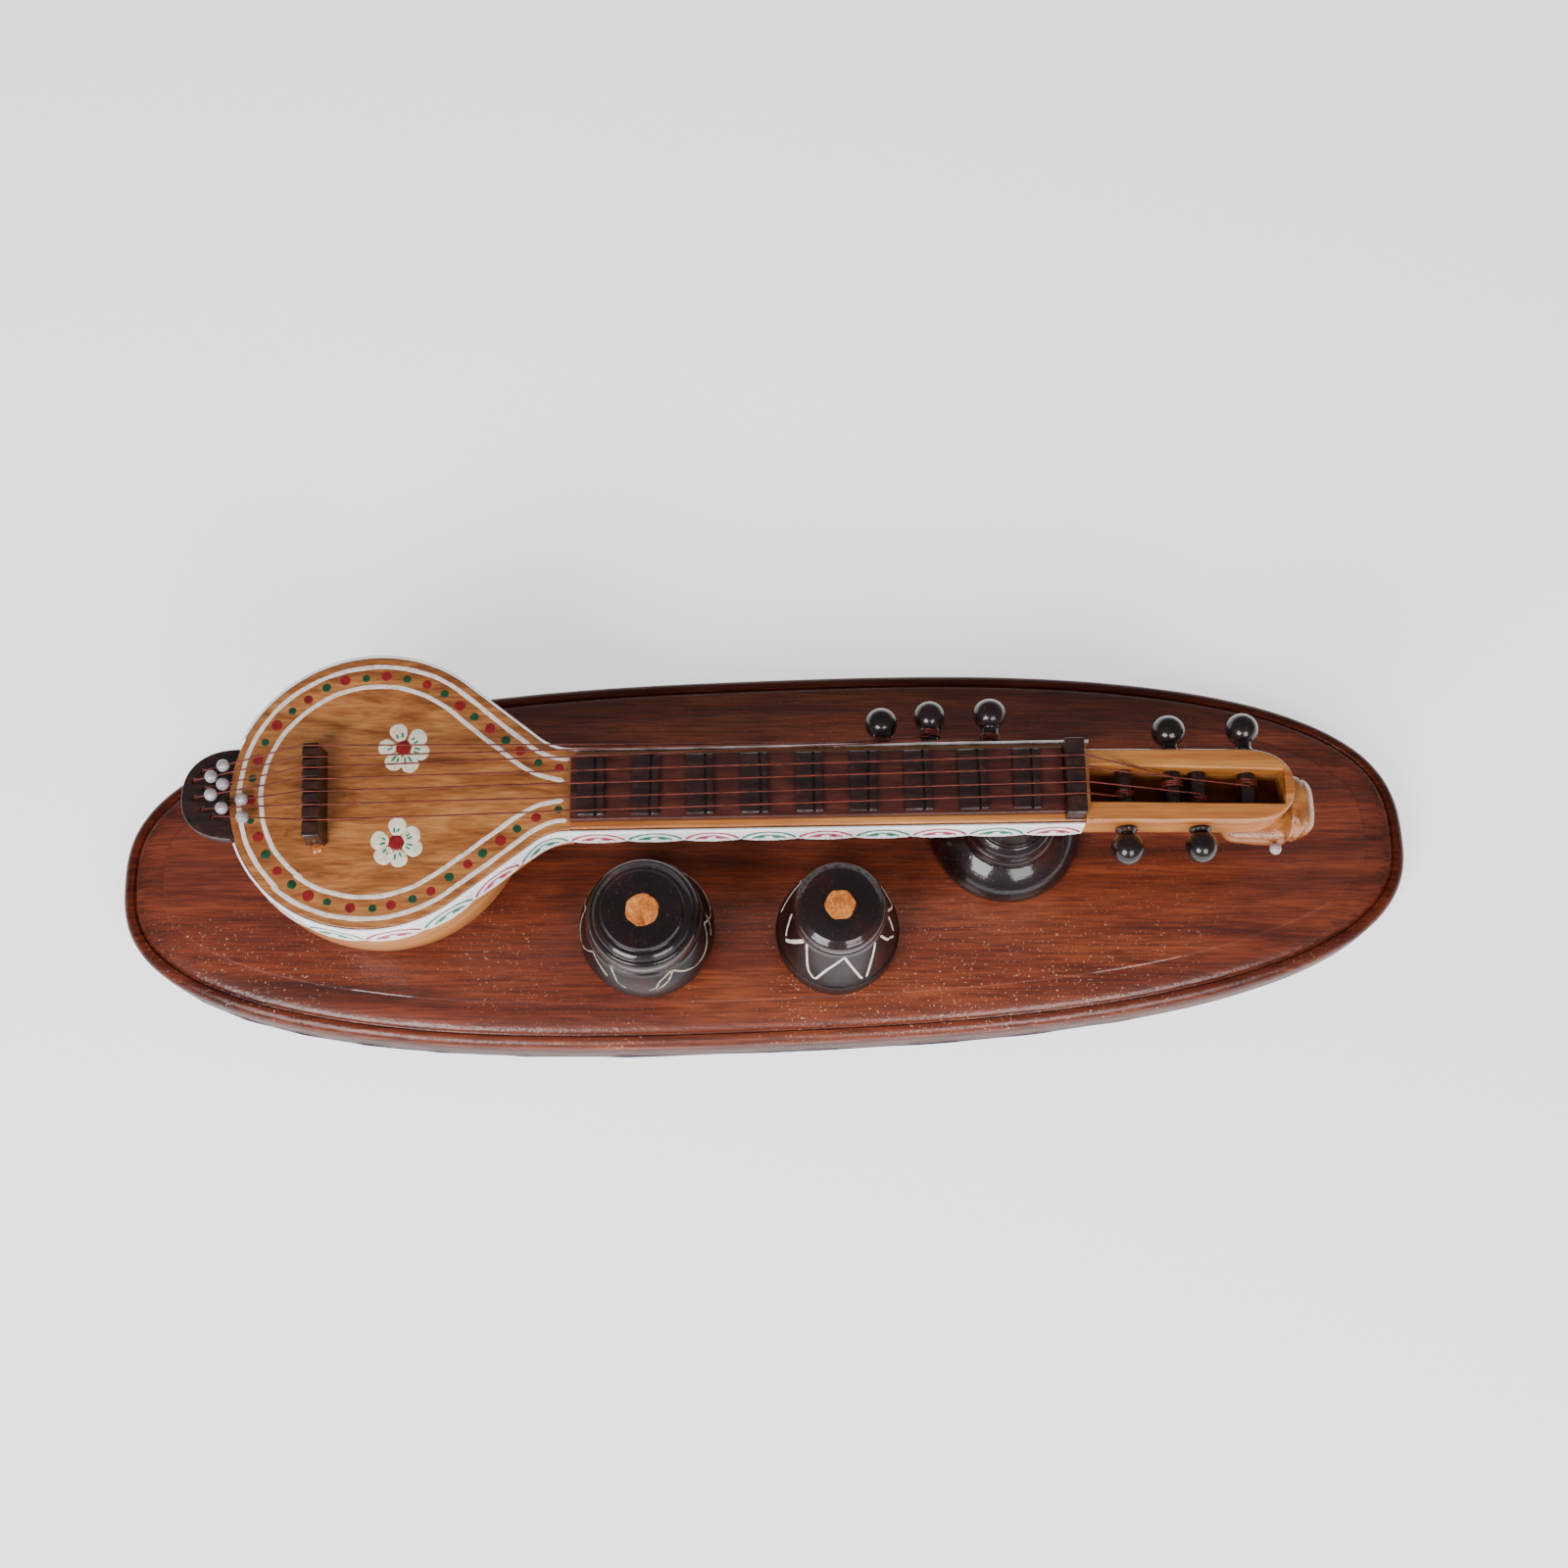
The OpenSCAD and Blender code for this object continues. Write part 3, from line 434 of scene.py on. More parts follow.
looks["lacquer"] = lacquerLook()
paints = {
    "whitePaint": ((232, 220, 214), (206, 186, 172), 0.5),
    "creamPaint": ((170, 158, 136), (60, 48, 40), 0.5),
    "petalPaint": ((238, 230, 210), (214, 196, 160), 0.45),
    "redPaint": ((136, 18, 24), (98, 12, 16), 0.4),
    "greenPaint": ((12, 70, 42), (6, 44, 28), 0.4),
    "leafPaint": ((30, 136, 96), (14, 100, 72), 0.4),
    "pinkInk": ((164, 34, 70), (196, 96, 120), 0.5),
    "greenInk": ((16, 112, 86), (80, 150, 128), 0.5),
    "bandWhite": ((244, 240, 240), (226, 222, 226), 0.42)}
for key, values in paints.items():
    looks[key] = paintLook(key, *values)


def cloudLook(name, scale, detail, stops, roughness=0.5, **settings):
    # A plain material whose colour drifts with one noise
    look, tree, shader = newLook(name, **settings)
    cloud = noise(tree, place(tree, (scale,) * 3), 1.0, detail, roughness)
    colour = ramp(tree, cloud, [(position, srgb(*rgb)) for position, *rgb in stops])
    tree.links.new(colour, shader.inputs["Base Color"])
    return look, tree, shader, cloud


looks["pearl"] = cloudLook(
    "pearl", 420, 3.0, [(0.3, 134, 124, 132), (0.6, 178, 168, 172)], Roughness=0.22, Coat_Weight=1.0,
    Coat_Roughness=0.06, Subsurface_Weight=0.1, Subsurface_Radius=(0.0006, 0.0005, 0.0005), Sheen_Weight=0.2)[0]
looks["copper"] = cloudLook(
    "copperWire", 300, 3.0, [(0.35, 74, 22, 13), (0.6, 118, 44, 28)], 0.6, Metallic=0.35, Roughness=0.4)[0]
looks["glue"] = cloudLook(
    "glue", 900, 2.0, [(0.4, 150, 70, 20), (0.6, 205, 120, 50)], Roughness=0.15, Coat_Weight=1.0,
    Transmission_Weight=0.3)[0]


def feltLook():
    look, tree, shader, fibre = cloudLook(
        "navyFelt", 1800, 5.0, [(0.35, 12, 14, 44), (0.65, 34, 38, 84)], 0.7, Roughness=0.95, Sheen_Weight=0.4)
    tree.links.new(bump(tree, fibre, 0.8, 0.0004), shader.inputs["Normal"])
    return look


looks["felt"] = feltLook()
print("looks ready")


# Board and felt
board = {
    "len": 302.0, "wid": 90.0, "top": 12.0, "power": 2.6, "turn": 2.45, "felt": 0.8, "edge": 8.0,
    "lip": 2.6, "rise": 2.4, "groove": 0.8, "grooveDepth": 0.4, "field": 10.4}


boardAngles = np.linspace(0, 2 * np.pi, 400, endpoint=False)


def boardRing(inset, z):
    # Superellipse of the board's outline, moved in along its own normal
    p = 2 / board["power"]
    xy, normal = [], []
    for size, f in ((board["len"], np.cos(boardAngles)), (board["wid"], np.sin(boardAngles))):
        xy.append(size / 2 * np.abs(f) ** p * np.sign(f))
        normal.append(2 / size * np.abs(f) ** (2 - p) * np.sign(f))
    xy = np.column_stack(xy) - unit(np.column_stack(normal)) * inset[:, None]
    return level(spun(xy, board["turn"]), z)


def makeBoard():
    b = board
    start, slopeTop = b["lip"] + b["groove"], b["top"] - 0.25
    lipZ, slopeZ = b["edge"] + b["rise"], b["edge"] + b["rise"] - b["grooveDepth"] + 0.1
    pts = [(0.5, b["felt"]), (0.15, b["felt"] + 0.25), (0, b["felt"] + 0.6), (0, b["edge"])]
    for t in np.radians(np.arange(10, 86, 7.5)):
        pts.append((b["lip"] * (1 - math.cos(t)), b["edge"] + b["rise"] * math.sin(t)))
    groove = [(0.15, lipZ - 0.02), (0.3, lipZ - 0.2), (0.42, slopeZ - 0.14), (0.6, slopeZ - 0.08)]
    pts += [(b["lip"] + out, z) for out, z in groove]
    reach = b["field"] - 0.5 - start
    for t in np.radians(np.arange(0, 91, 9)):
        pts.append((start + reach * (1 - math.cos(t)), slopeZ + (slopeTop - slopeZ) * math.sin(t)))
    pts += [(b["field"] - 0.38, slopeTop + 0.02), (b["field"] - 0.25, b["top"] - 0.06), (b["field"], b["top"]),
            (b["field"] + 0.5, b["top"])]
    a = boardAngles
    hand = 0.08 + 0.07 * wave(a, 3, 3) + 0.03 * wave(a, 4, 14)
    rings = []
    for inset, z in pts:
        own = 0.05 * wave(a, int(inset * 10) + 50, 6) if inset > 2 else 0
        rings.append(boardRing(inset + np.clip(hand + own, 0.02, 0.5), z))
    for share in (0.93, 0.75, 0.5, 0.25):
        rings.append(rings[len(pts) - 1] * (share, share, 1))

    def stainedAndShaded(v):
        # Painted shade with a dark stain: darkest on the upright edge and the lip, less so along the front, which is
        # kept lighter as the lit side, and a dark line in the groove
        x, y = spun(v[:, :2], -b["turn"]).T
        out = (np.abs(x) * 2 / b["len"]) ** b["power"] + (np.abs(y) * 2 / b["wid"]) ** b["power"]
        deep = np.clip((b["top"] - 0.05 - v[:, 2]) / 1.6, 0, 1)
        front = np.clip((-y / 45 - 0.3) * 2.2, 0, 1) * np.clip(1.4 - np.abs(x) / 110, 0, 1)
        lip = np.where(out > 0.4, 0.85 * deep * (1 - 0.6 * front), 0)
        return np.where(v[:, 2] < b["edge"] + 0.6, 1.0, lip)

    addMesh("board", ringShell(rings), looks["board"], nodes=["base_board"], angle=28,
            tone=stainedAndShaded)


def makeFelt():
    # A navy felt sheet under the board, partly painted shade: it reaches out furthest along the front, so its dark
    # edge there also stands in for the shade under the board's lower edge
    a = boardAngles
    front = np.clip(np.cos(a - math.radians(235)) * 1.6, 0, 1)
    rough = 0.5 - 0.42 * front + 0.14 * wave(a, 21, 40) * front + 0.1 * wave(a, 22, 9)
    rings = [boardRing(rough + k, z) for k, z in ((0.15, 0.0), (0.0, 0.15), (0.0, 0.7), (0.12, 0.8))]
    rings.append(rings[-1] * (0.9, 0.9, 1))
    rings.insert(0, rings[0] * (0.9, 0.9, 1))
    addMesh("feltBackingAndShade", ringShell(rings), looks["felt"], nodes=["base_backing"], angle=60)


makeBoard()
makeFelt()
print("board ready")


# The pear outline shared by bowl, soundboard, paint and bands
inst = {
    "bowlR": 31.0, "bowlX": -85.0, "y": 3.3, "deck": 48.0, "boardThk": 1.6, "swell": 0.4, "swellDepth": 14.0,
    "rim": 1.8, "slope": 38.0, "jointX": -42.0, "neckHalf": 9.1, "neckBase": 38.0, "turn": 1.0, "neckEnd": 69.2}
bowlAt = (inst["bowlX"], inst["y"])
endU = inst["jointX"] - inst["bowlX"]
roundStart = 90 - inst["slope"]
tanTurn = math.tan(math.radians(inst["turn"]))
filletR = (endU * math.cos(math.radians(roundStart)) + inst["neckHalf"] * math.sin(math.radians(roundStart))
           - inst["bowlR"]) / (1 - math.sin(math.radians(roundStart)))


def halfOutline(step=0.5):
    # From the neck joint to the tail: points and outward normals of a fillet, a straight shoulder and a round
    a = np.radians(np.linspace(-90, -90 - inst["slope"], 24))
    fillet, filletN = circle(a, filletR) + (endU, inst["neckHalf"] + filletR), -circle(a)
    a = np.radians(np.linspace(roundStart, 180, 120))
    pts, nor = np.vstack([fillet, circle(a, inst["bowlR"])]), np.vstack([filletN, circle(a)])
    s = runLength(pts)
    t = np.arange(0, s[-1], step)
    t = np.append(t, s[-1])
    pts = np.column_stack([np.interp(t, s, pts[:, k]) for k in (0, 1)])
    nor = np.column_stack([np.interp(t, s, nor[:, k]) for k in (0, 1)])
    return pts, unit(nor), t


halfP, halfN, halfS = halfOutline()


def pear(out=0.0):
    # Closed outline moved out by a distance, anticlockwise from the joint's near corner
    p = halfP + halfN * out
    end = np.column_stack([np.full(9, endU), np.linspace(p[0, 1], -p[0, 1], 11)[1:-1]])
    near = p * (1, -1)
    return np.vstack([end, near, p[-2::-1]])


swellZ = inst["deck"] - inst["swellDepth"]
swellR = inst["bowlR"] + inst["swell"]
rimZ = inst["deck"] - inst["boardThk"] - inst["rim"]
upperC = (rimZ - swellZ) / math.sqrt(1 - (inst["bowlR"] / swellR) ** 2)


def ballR(z):
    if z >= rimZ:
        return inst["bowlR"]
    if z >= swellZ:
        return swellR * math.sqrt(1 - ((z - swellZ) / upperC) ** 2)
    return math.sqrt(swellR ** 2 - (swellZ - z) ** 2)


def sideShare(p):
    t = np.clip((np.abs(np.degrees(np.arctan2(p[:, 1], p[:, 0]))) - 25) / 35, 0, 1)
    return t * t * (3 - 2 * t)


def makeBowl():
    p = pear()
    length = np.linalg.norm(p, axis=1)
    way = p / length[:, None]
    excess, share = np.maximum(0, length - inst["bowlR"]), sideShare(p)
    tongueZ = board["top"] + 10
    rings = []
    low = board["top"] + (inst["neckBase"] - board["top"]) * np.sin(np.linspace(0, np.pi / 2, 26))
    high = np.linspace(inst["neckBase"], inst["deck"] - inst["boardThk"], 14)[1:]
    for z in np.concatenate([low, high]):
        s = min(1, max(0, (z - tongueZ) / (inst["neckBase"] - tongueZ)))
        tongue = 1 - math.sqrt(1 - s * s)
        r = ballR(z) + excess * tongue - max(0, ballR(z) - inst["bowlR"]) * (1 - share)
        rings.append(level(way * r[:, None] + bowlAt, z))
    addMesh("bowl", ringShell(rings), looks["bowl"], nodes=["resonator_bowl"], angle=50)


def makeTop():
    low, high = inst["deck"] - inst["boardThk"], inst["deck"]
    steps = [(0.05, low), (0, low + 0.1)] + eased(0, high, 0.35) + [(3, high), (9, high)]
    rings = [level(pear(-inset) + bowlAt, z) for inset, z in steps]
    addMesh("soundboard", ringShell(rings), looks["top"], nodes=["soundboard"], angle=28)


makeBowl()
makeTop()
print("bowl ready")


# Painted lines, dots and flowers
paint = {"outer": 2.1, "inner": 6.9, "dots": 4.5, "dotCount": 40, "lineWidth": 1.0}


def edgePath(inset, trim=0.0):
    # The line at an inset from the outline, from the far end of the joint round the tail to the near end
    far = halfP - halfN * inset
    keep = far[:, 0] <= endU - trim
    far, nor = far[keep], halfN[keep]
    path = np.vstack([far, (far * (1, -1))[::-1][1:]])
    nor = np.vstack([nor, (nor * (1, -1))[::-1][1:]])
    return path + bowlAt, nor


def topRibbon(xy, width, height):
    return ribbon(level(xy, inst["deck"]), np.tile([0, 0, 1.0], (len(xy), 1)), width, height)


def makePaint():
    lines = []
    for inset, trim, seed in ((paint["outer"], 0.2, 5), (paint["inner"], 1.2, 9)):
        path, nor = edgePath(inset, trim)
        s = runLength(path)
        shift = 0.16 * wave(s / 10, seed, 1.2) + 0.05 * wave(s, seed + 1, 1.1)
        breakAt = s[-1] * 0.63
        for k, (lo, hi) in enumerate(((0, breakAt + 1.2), (breakAt - 1.0, s[-1]))):
            pick = (s >= lo) & (s <= hi)
            side = shift[pick] + (0.35 if k else 0) * np.exp(-((s[pick] - breakAt) / 9) ** 2)
            q = path[pick] + nor[pick] * side[:, None]
            width = paint["lineWidth"] * (1 + 0.1 * wave(s[pick], seed + 3, 0.35))
            lines.append(topRibbon(q, width, 0.06 + 0.01 * k))
    addMesh("paintedLines", lines, looks["whitePaint"])
    path, nor = edgePath(paint["dots"], 1.0)
    s = runLength(path)
    at = np.linspace(1.6, s[-1] - 1.6, paint["dotCount"])
    dots = {0: [], 1: []}
    a = np.linspace(0, 2 * np.pi, 20, endpoint=False)
    for k, t in enumerate(at):
        t = t + rng.normal(0, 0.16)
        c = np.array([np.interp(t, s, path[:, 0]), np.interp(t, s, path[:, 1])]) + rng.normal(0, 0.15, 2)
        r = (1.15 if k % 2 == 0 else 0.98) * rng.uniform(0.86, 1.1)
        ring = c + circle(a, r * (1 + 0.07 * wave(a, 100 + k, 1)))
        dots[k % 2].append(blob(ring, c, inst["deck"], 0.08))
    addMesh("redDots", dots[0], looks["redPaint"])
    addMesh("greenDots", dots[1], looks["greenPaint"])


flowers = [
    {"at": (-78.9, 12.95), "petals": (109, 39, -12, -67, -121, 177)},
    {"at": (-79.1, -8.7), "petals": (90, 30, -17, -77, -131, 172)}]


def makeFlowers():
    petals, hearts, strokes = [], [], []
    t = np.linspace(0, 2 * np.pi, 28, endpoint=False)
    for f, flower in enumerate(flowers):
        c = np.array(flower["at"])
        for k, deg in enumerate(flower["petals"]):
            reach, half = rng.uniform(5.5, 6.0), rng.uniform(2.15, 2.4)
            u = 1.5 + (reach - 1.5) * (0.5 - 0.5 * np.cos(t))
            v = half * np.sin(t) * (0.62 + 0.38 * (0.5 - 0.5 * np.cos(t)) ** 0.8)
            v *= 1 + 0.05 * wave(t, 300 + 7 * k + f, 2)
            a = math.radians(deg)
            ring = c + spun(np.column_stack([u, v]), deg)
            mid = c + (1.5 + 0.62 * (reach - 1.5)) * np.array([math.cos(a), math.sin(a)])
            petals.append(blob(ring, mid, inst["deck"], 0.12))
        for k, deg in enumerate(flower["petals"] * 2):
            a = math.radians(deg + (9 if k < 6 else -9) + rng.normal(0, 3))
            r = np.linspace(rng.uniform(2.2, 2.5), rng.uniform(3.2, 3.9), 8)
            q = c + circle(a, r) + 0.1 * np.column_stack([wave(r, k, 2), wave(r, k + 9, 2)])
            strokes.append(topRibbon(q, 0.6, 0.16))
        ring = c + circle(t, 1.7 * (1 + 0.07 * wave(t, 40 + f, 1)))
        hearts.append(blob(ring, c, inst["deck"], 0.2))
    addMesh("petals", petals, looks["petalPaint"])
    addMesh("flowerStrokes", strokes, looks["leafPaint"])
    addMesh("flowerHearts", hearts, looks["redPaint"])


makePaint()
makeFlowers()
print("paint ready")


# Neck, fingerboard, frets, nut
def onNeck(shell):
    verts, quads, tris = turned(shell, inst["turn"])
    return verts + (inst["jointX"], inst["y"], 0), quads, tris


def neckY(x):
    return inst["y"] + (x - inst["jointX"]) * tanTurn


neck = {"round": 3.6, "topRound": 0.9, "boardHalf": 7.4, "boardThk": 2.0}


def makeNeck():
    h, r, tr, base, top = inst["neckHalf"], neck["round"], neck["topRound"], inst["neckBase"], inst["deck"]
    sec = []
    for quarterRound in ((h - r, base + r, r, -90), (h - tr, top - tr, tr, 0), (tr - h, top - tr, tr, 90),
                         (r - h, base + r, r, 180)):
        sec += corner(*quarterRound, 8)
    sec = np.array(sec)
    xs = np.linspace(inst["jointX"], inst["neckEnd"], 60)
    rings = []
    for x in xs:
        wob = 0.05 * math.sin(x * 0.21) + 0.04 * math.sin(x * 0.53 + 1)
        y = sec[:, 0] * (1 - 0.004 * (1 + wob * 10)) + neckY(x)
        rings.append(np.column_stack([np.full(len(sec), x), y, sec[:, 1]]))
    addMesh("neck", ringShell(rings), looks["neck"], nodes=["neck"], angle=40)
    half, deck = neck["boardHalf"], inst["deck"]
    plate = block(0.05, 106.85, -half, half, deck, deck + neck["boardThk"], 0.25)
    addMesh("fingerboard", onNeck(plate), looks["finger"], nodes=["fingerboard"])


frets = {"count": 9, "len": 6.1, "height": 1.4, "start": 4.6, "pitch": 11.75, "half": 6.8}


def makeFrets():
    # Each block's section along the neck has a saw groove near its right side
    base = inst["deck"] + neck["boardThk"]
    for i in range(frets["count"]):
        x = frets["start"] + i * frets["pitch"]
        hw, top, r = frets["len"] / 2 - rng.uniform(0, 0.2), base + frets["height"] - rng.uniform(0, 0.12), 0.3
        g = hw - rng.uniform(1.55, 1.95)
        side = [(-hw, base), (-hw, top - r), (-hw + 0.1, top - 0.1), (-hw + r, top)]
        groove = [(-0.45, top), (-0.3, top - 0.1), (-0.22, top - 0.75)]
        outline = np.array(side + [(g + x0, z) for x0, z in groove] + [(g - x0, z) for x0, z in groove[::-1]]
                           + [(-x0, z) for x0, z in side[::-1]])
        ys = np.concatenate([[-1, -0.995, -0.97], np.linspace(-0.94, 0.94, 26), [0.97, 0.995, 1]]) * frets["half"]
        rings = []
        for y in ys:
            pull = endPull(y, frets["half"], 0.3)
            o = outline.copy()
            o[:, 0] *= 1 - pull / hw
            o[1:-1, 1] -= pull
            o[1:-1, 1] += 0.05 * math.sin(y * 1.7 + i) + 0.03 * math.sin(y * 3.1 + 2 * i) - 0.05
            o[:, 0] += x + 0.05 * math.sin(y * 0.9 + i * 2)
            rings.append(np.insert(o, 1, y, axis=1))
        shell = onNeck(turned(ringShell(rings), rng.normal(0, 0.7), (x, 0)))
        addMesh(f"fret{i + 1}", shell, looks["fret"], nodes=[f"fret_{i + 1}"])


def notched(y, centres, half, depth):
    # Depth of a round notch under each wire
    d = np.zeros_like(y)
    for c in centres:
        t = np.clip(1 - np.abs(y - c) / half, 0, 1)
        d = np.maximum(d, depth * np.minimum(1, 2.2 * t))
    return d


nut = {"x0": 64.9, "x1": 69.1, "half": 8.6, "height": 5}
# Each playing wire's y at the nut and at its peg, and the number of its peg
melodyEnds = [(9.6, 6.4, 6), (6.7, 4.4, 7), (3.5, 2.6, 5), (0.9, 1.8, 4)]


def makeNut():
    x0, x1, half, z0, z1 = nut["x0"], nut["x1"], nut["half"], inst["deck"], inst["deck"] + nut["height"]
    mid = neckY(x0)
    ys = np.linspace(mid - half, mid + half, 150)
    cut = notched(ys, [end[0] for end in melodyEnds], 0.32, 0.22)
    rings = []
    for y, c in zip(ys, cut):
        pull = endPull(y - mid, half, 0.4)
        top = z1 - c - pull - 0.05 - 0.05 * math.sin(y * 1.3)
        o = [(x0 + pull, z0), (x0 + pull, top - 0.4), (x0 + 0.12 + pull, top - 0.12), (x0 + 0.4 + pull, top),
             (x1 - 0.3 - pull, top), (x1 - 0.08 - pull, top - 0.1), (x1 - pull, top - 0.4), (x1 - pull, z0)]
        rings.append([(x, y, z) for x, z in o])
    addMesh("nut", ringShell(rings), looks["bridge"], nodes=["nut"])


makeNeck()
makeFrets()
makeNut()
print("neck ready")


# Pegbox and head
pegbox = {"x0": 69.2, "x1": 114.5, "y": 3.95, "half": 8.4, "base": 40.0, "top": 50.0, "floor": 41.5,
          "open": (70.2, 112.2), "roundLen": 12.0}


def pegboxHalf(x):
    start = pegbox["x1"] - pegbox["roundLen"]
    if x <= start:
        return pegbox["half"]
    c = min(1.0, (x - start) / pegbox["roundLen"]) ** 1.25
    return pegbox["half"] * math.sqrt(max(0, 1 - c * c)) ** 0.8


def makePegbox():
    # A beam with a sunk channel: the inner points of each section drop to the floor between the two ends
    b = pegbox
    openX0, openX1 = b["open"]
    bend = b["x1"] - b["roundLen"]
    xs = np.concatenate([np.linspace(b["x0"], openX0, 3), np.linspace(openX0, bend, 40),
                         bend + b["roundLen"] * np.sin(np.linspace(0.04, 0.5 * np.pi, 36)) ** 0.8])
    # The channel's points in each section, with the wall they start from
    channel = slice(14, 22)
    rings, wasOpen, last = [], False, None
    for x in xs:
        half = max(0.5, pegboxHalf(min(x, b["x1"] - 0.03)))
        t = (x - openX0) / (openX1 - openX0)
        near, far = max(-4.2 + 0.48 * (1 - t), -half + 1.4), min(4.5 - 1.1 * t, half - 1.4)
        openNow = openX0 <= x <= openX1 and far > near + 0.4
        if not openNow:
            near, far = max(-4.2, -half * 0.5), min(4.2, half * 0.5)
        r, tr = min(2.4, half * 0.5), min(0.9, half * 0.3)
        top = b["top"] + 0.06 * math.sin(x * 0.5) - 0.06
        sink, lift, k = (b["floor"], 0.5, 0.35) if openNow else (b["top"], 0, 0.0)
        o = corner(half - r, b["base"] + r, r, -90, 7) + corner(half - tr, top - tr, tr, 0, 7)
        o += [(far + k, top), (far + 0.1 * k, top - k), (far, sink + lift), (far - 0.5 * k, sink),
              (near + 0.5 * k, sink), (near, sink + lift), (near - 0.1 * k, top - k), (near - k, top)]
        o += corner(tr - half, top - tr, tr, 90, 7) + corner(r - half, b["base"] + r, r, 180, 7)
        ring = np.array([(x, b["y"] + y, z) for y, z in o])
        if openNow != wasOpen:
            # An upright end wall: the same section again with its channel points at the other height
            wall = ring.copy()
            wall[channel, 2] = b["top"] - 0.01 if openNow else last[channel, 2]
            rings.append(wall)
        rings.append(ring)
        wasOpen, last = openNow, ring
    # Painted shade: the channel's walls and floor darken the deeper they lie below the top
    addMesh("pegbox", ringShell(rings), looks["neck"], nodes=["pegbox"], angle=38,
            tone=lambda v: np.where(np.abs(v[:, 1] - b["y"]) < 5.2, (b["top"] - 0.6 - v[:, 2]) / 4, 0))


headY = pegbox["y"] - 2


def makeHead():
    # Rounded sections along X that curl down past the pegbox, with knife marks left in them
    top = pegbox["top"]
    under = 10.04
    sections = np.array([
        [-14, 5.0, 13.8, under], [-12, 6.8, 15.2, under], [-7.5, 7.2, 16.6, under], [-2.5, 7.45, 17.6, under],
        [0.04, 7.4, 17.9, under], [0.2, 7.4, 17.9, 4.4], [2.4, 7, 17.6, 4.8], [4.4, 6.2, 16.2, 5.8],
        [5.8, 5, 14.2, 7.6], [6.5, 3.4, 12.2, 9.6]])
    a = np.linspace(0, 2 * np.pi, 96, endpoint=False)
    rings = []
    for s in np.vstack([catmull(sections[:5], 8), catmull(sections[5:], 8)]):
        mid, half = (s[2] + s[3]) / 2, (s[2] - s[3]) / 2
        cut = 1 - 0.03 * (1 + wave(a * 3 + s[0] * 0.8, 77, 1.1)) * min(1, max(0, 7 - abs(s[0] - 1)) / 7)
        notch = 1 - 0.09 * math.exp(-((s[0] - 3.4) / 0.35) ** 2) - 0.06 * math.exp(-((s[0] - 1.2) / 0.3) ** 2)
        y = s[1] * np.sign(np.cos(a)) * np.abs(np.cos(a)) ** 0.7 * cut * notch
        deep = cut if s[0] > 0.1 else np.where(np.sin(a) > 0, cut, 1)
        z = top - mid - half * np.sign(np.sin(a)) * np.abs(np.sin(a)) ** 0.7 * deep
        rings.append(np.column_stack([np.full(len(a), pegbox["x1"] + s[0]), headY + y, z]))
    addMesh("head", ringShell(rings), looks["head"], nodes=["head_scroll"], angle=32)


def sphere(centre, r, sides=40, rows=20):
    t = np.linspace(0, np.pi, rows + 1)
    return lathe(np.column_stack([r * np.sin(t), -r * np.cos(t)]), centre, sides)


makePegbox()
makeHead()
eyes = [sphere((pegbox["x1"] - 2, headY + s * 8.8, pegbox["base"] - 2.4), 1.3) for s in (-1, 1)]
addMesh("headEyes", eyes, looks["pearl"], nodes=["head_eyes"])
print("pegbox ready")


# Side bands with their painted scrolls
band = {"height": 8.0, "thk": 0.5, "gap": 0.12, "pitch": 12.4, "lean": ballR(40.0) - 31.0}


def bandPath(s):
    # Plan of the band's inner face from the neck's end to the tailpiece: points, normals and share of lean
    endX = inst["neckEnd"] + (1.6 if s > 0 else -0.05)
    xs = np.linspace(endX, inst["jointX"] + 0.4, 220)
    half = inst["neckHalf"] / math.cos(math.radians(inst["turn"]))
    p1 = np.column_stack([xs, neckY(xs) + s * half])
    n1 = np.tile([-s * math.sin(math.radians(inst["turn"])), s * 1.0], (len(xs), 1))
    keep = (halfP[:, 0] > 0) | (halfP[:, 1] > 11.7)
    keep[:3] = False
    p2 = halfP[keep] * (1, s) + bowlAt
    n2 = halfN[keep] * (1, s)
    lean = np.concatenate([np.zeros(len(xs)), band["lean"] * sideShare(halfP[keep])])
    p, n = np.vstack([p1, p2]), np.vstack([n1, n2])
    length = runLength(p)
    u = np.arange(0, length[-1], 0.3)
    col = lambda v: np.interp(u, length, v)
    p = np.column_stack([col(p[:, 0]), col(p[:, 1])])
    n = np.column_stack([col(n[:, 0]), col(n[:, 1])])
    return u, p, unit(n), col(lean)


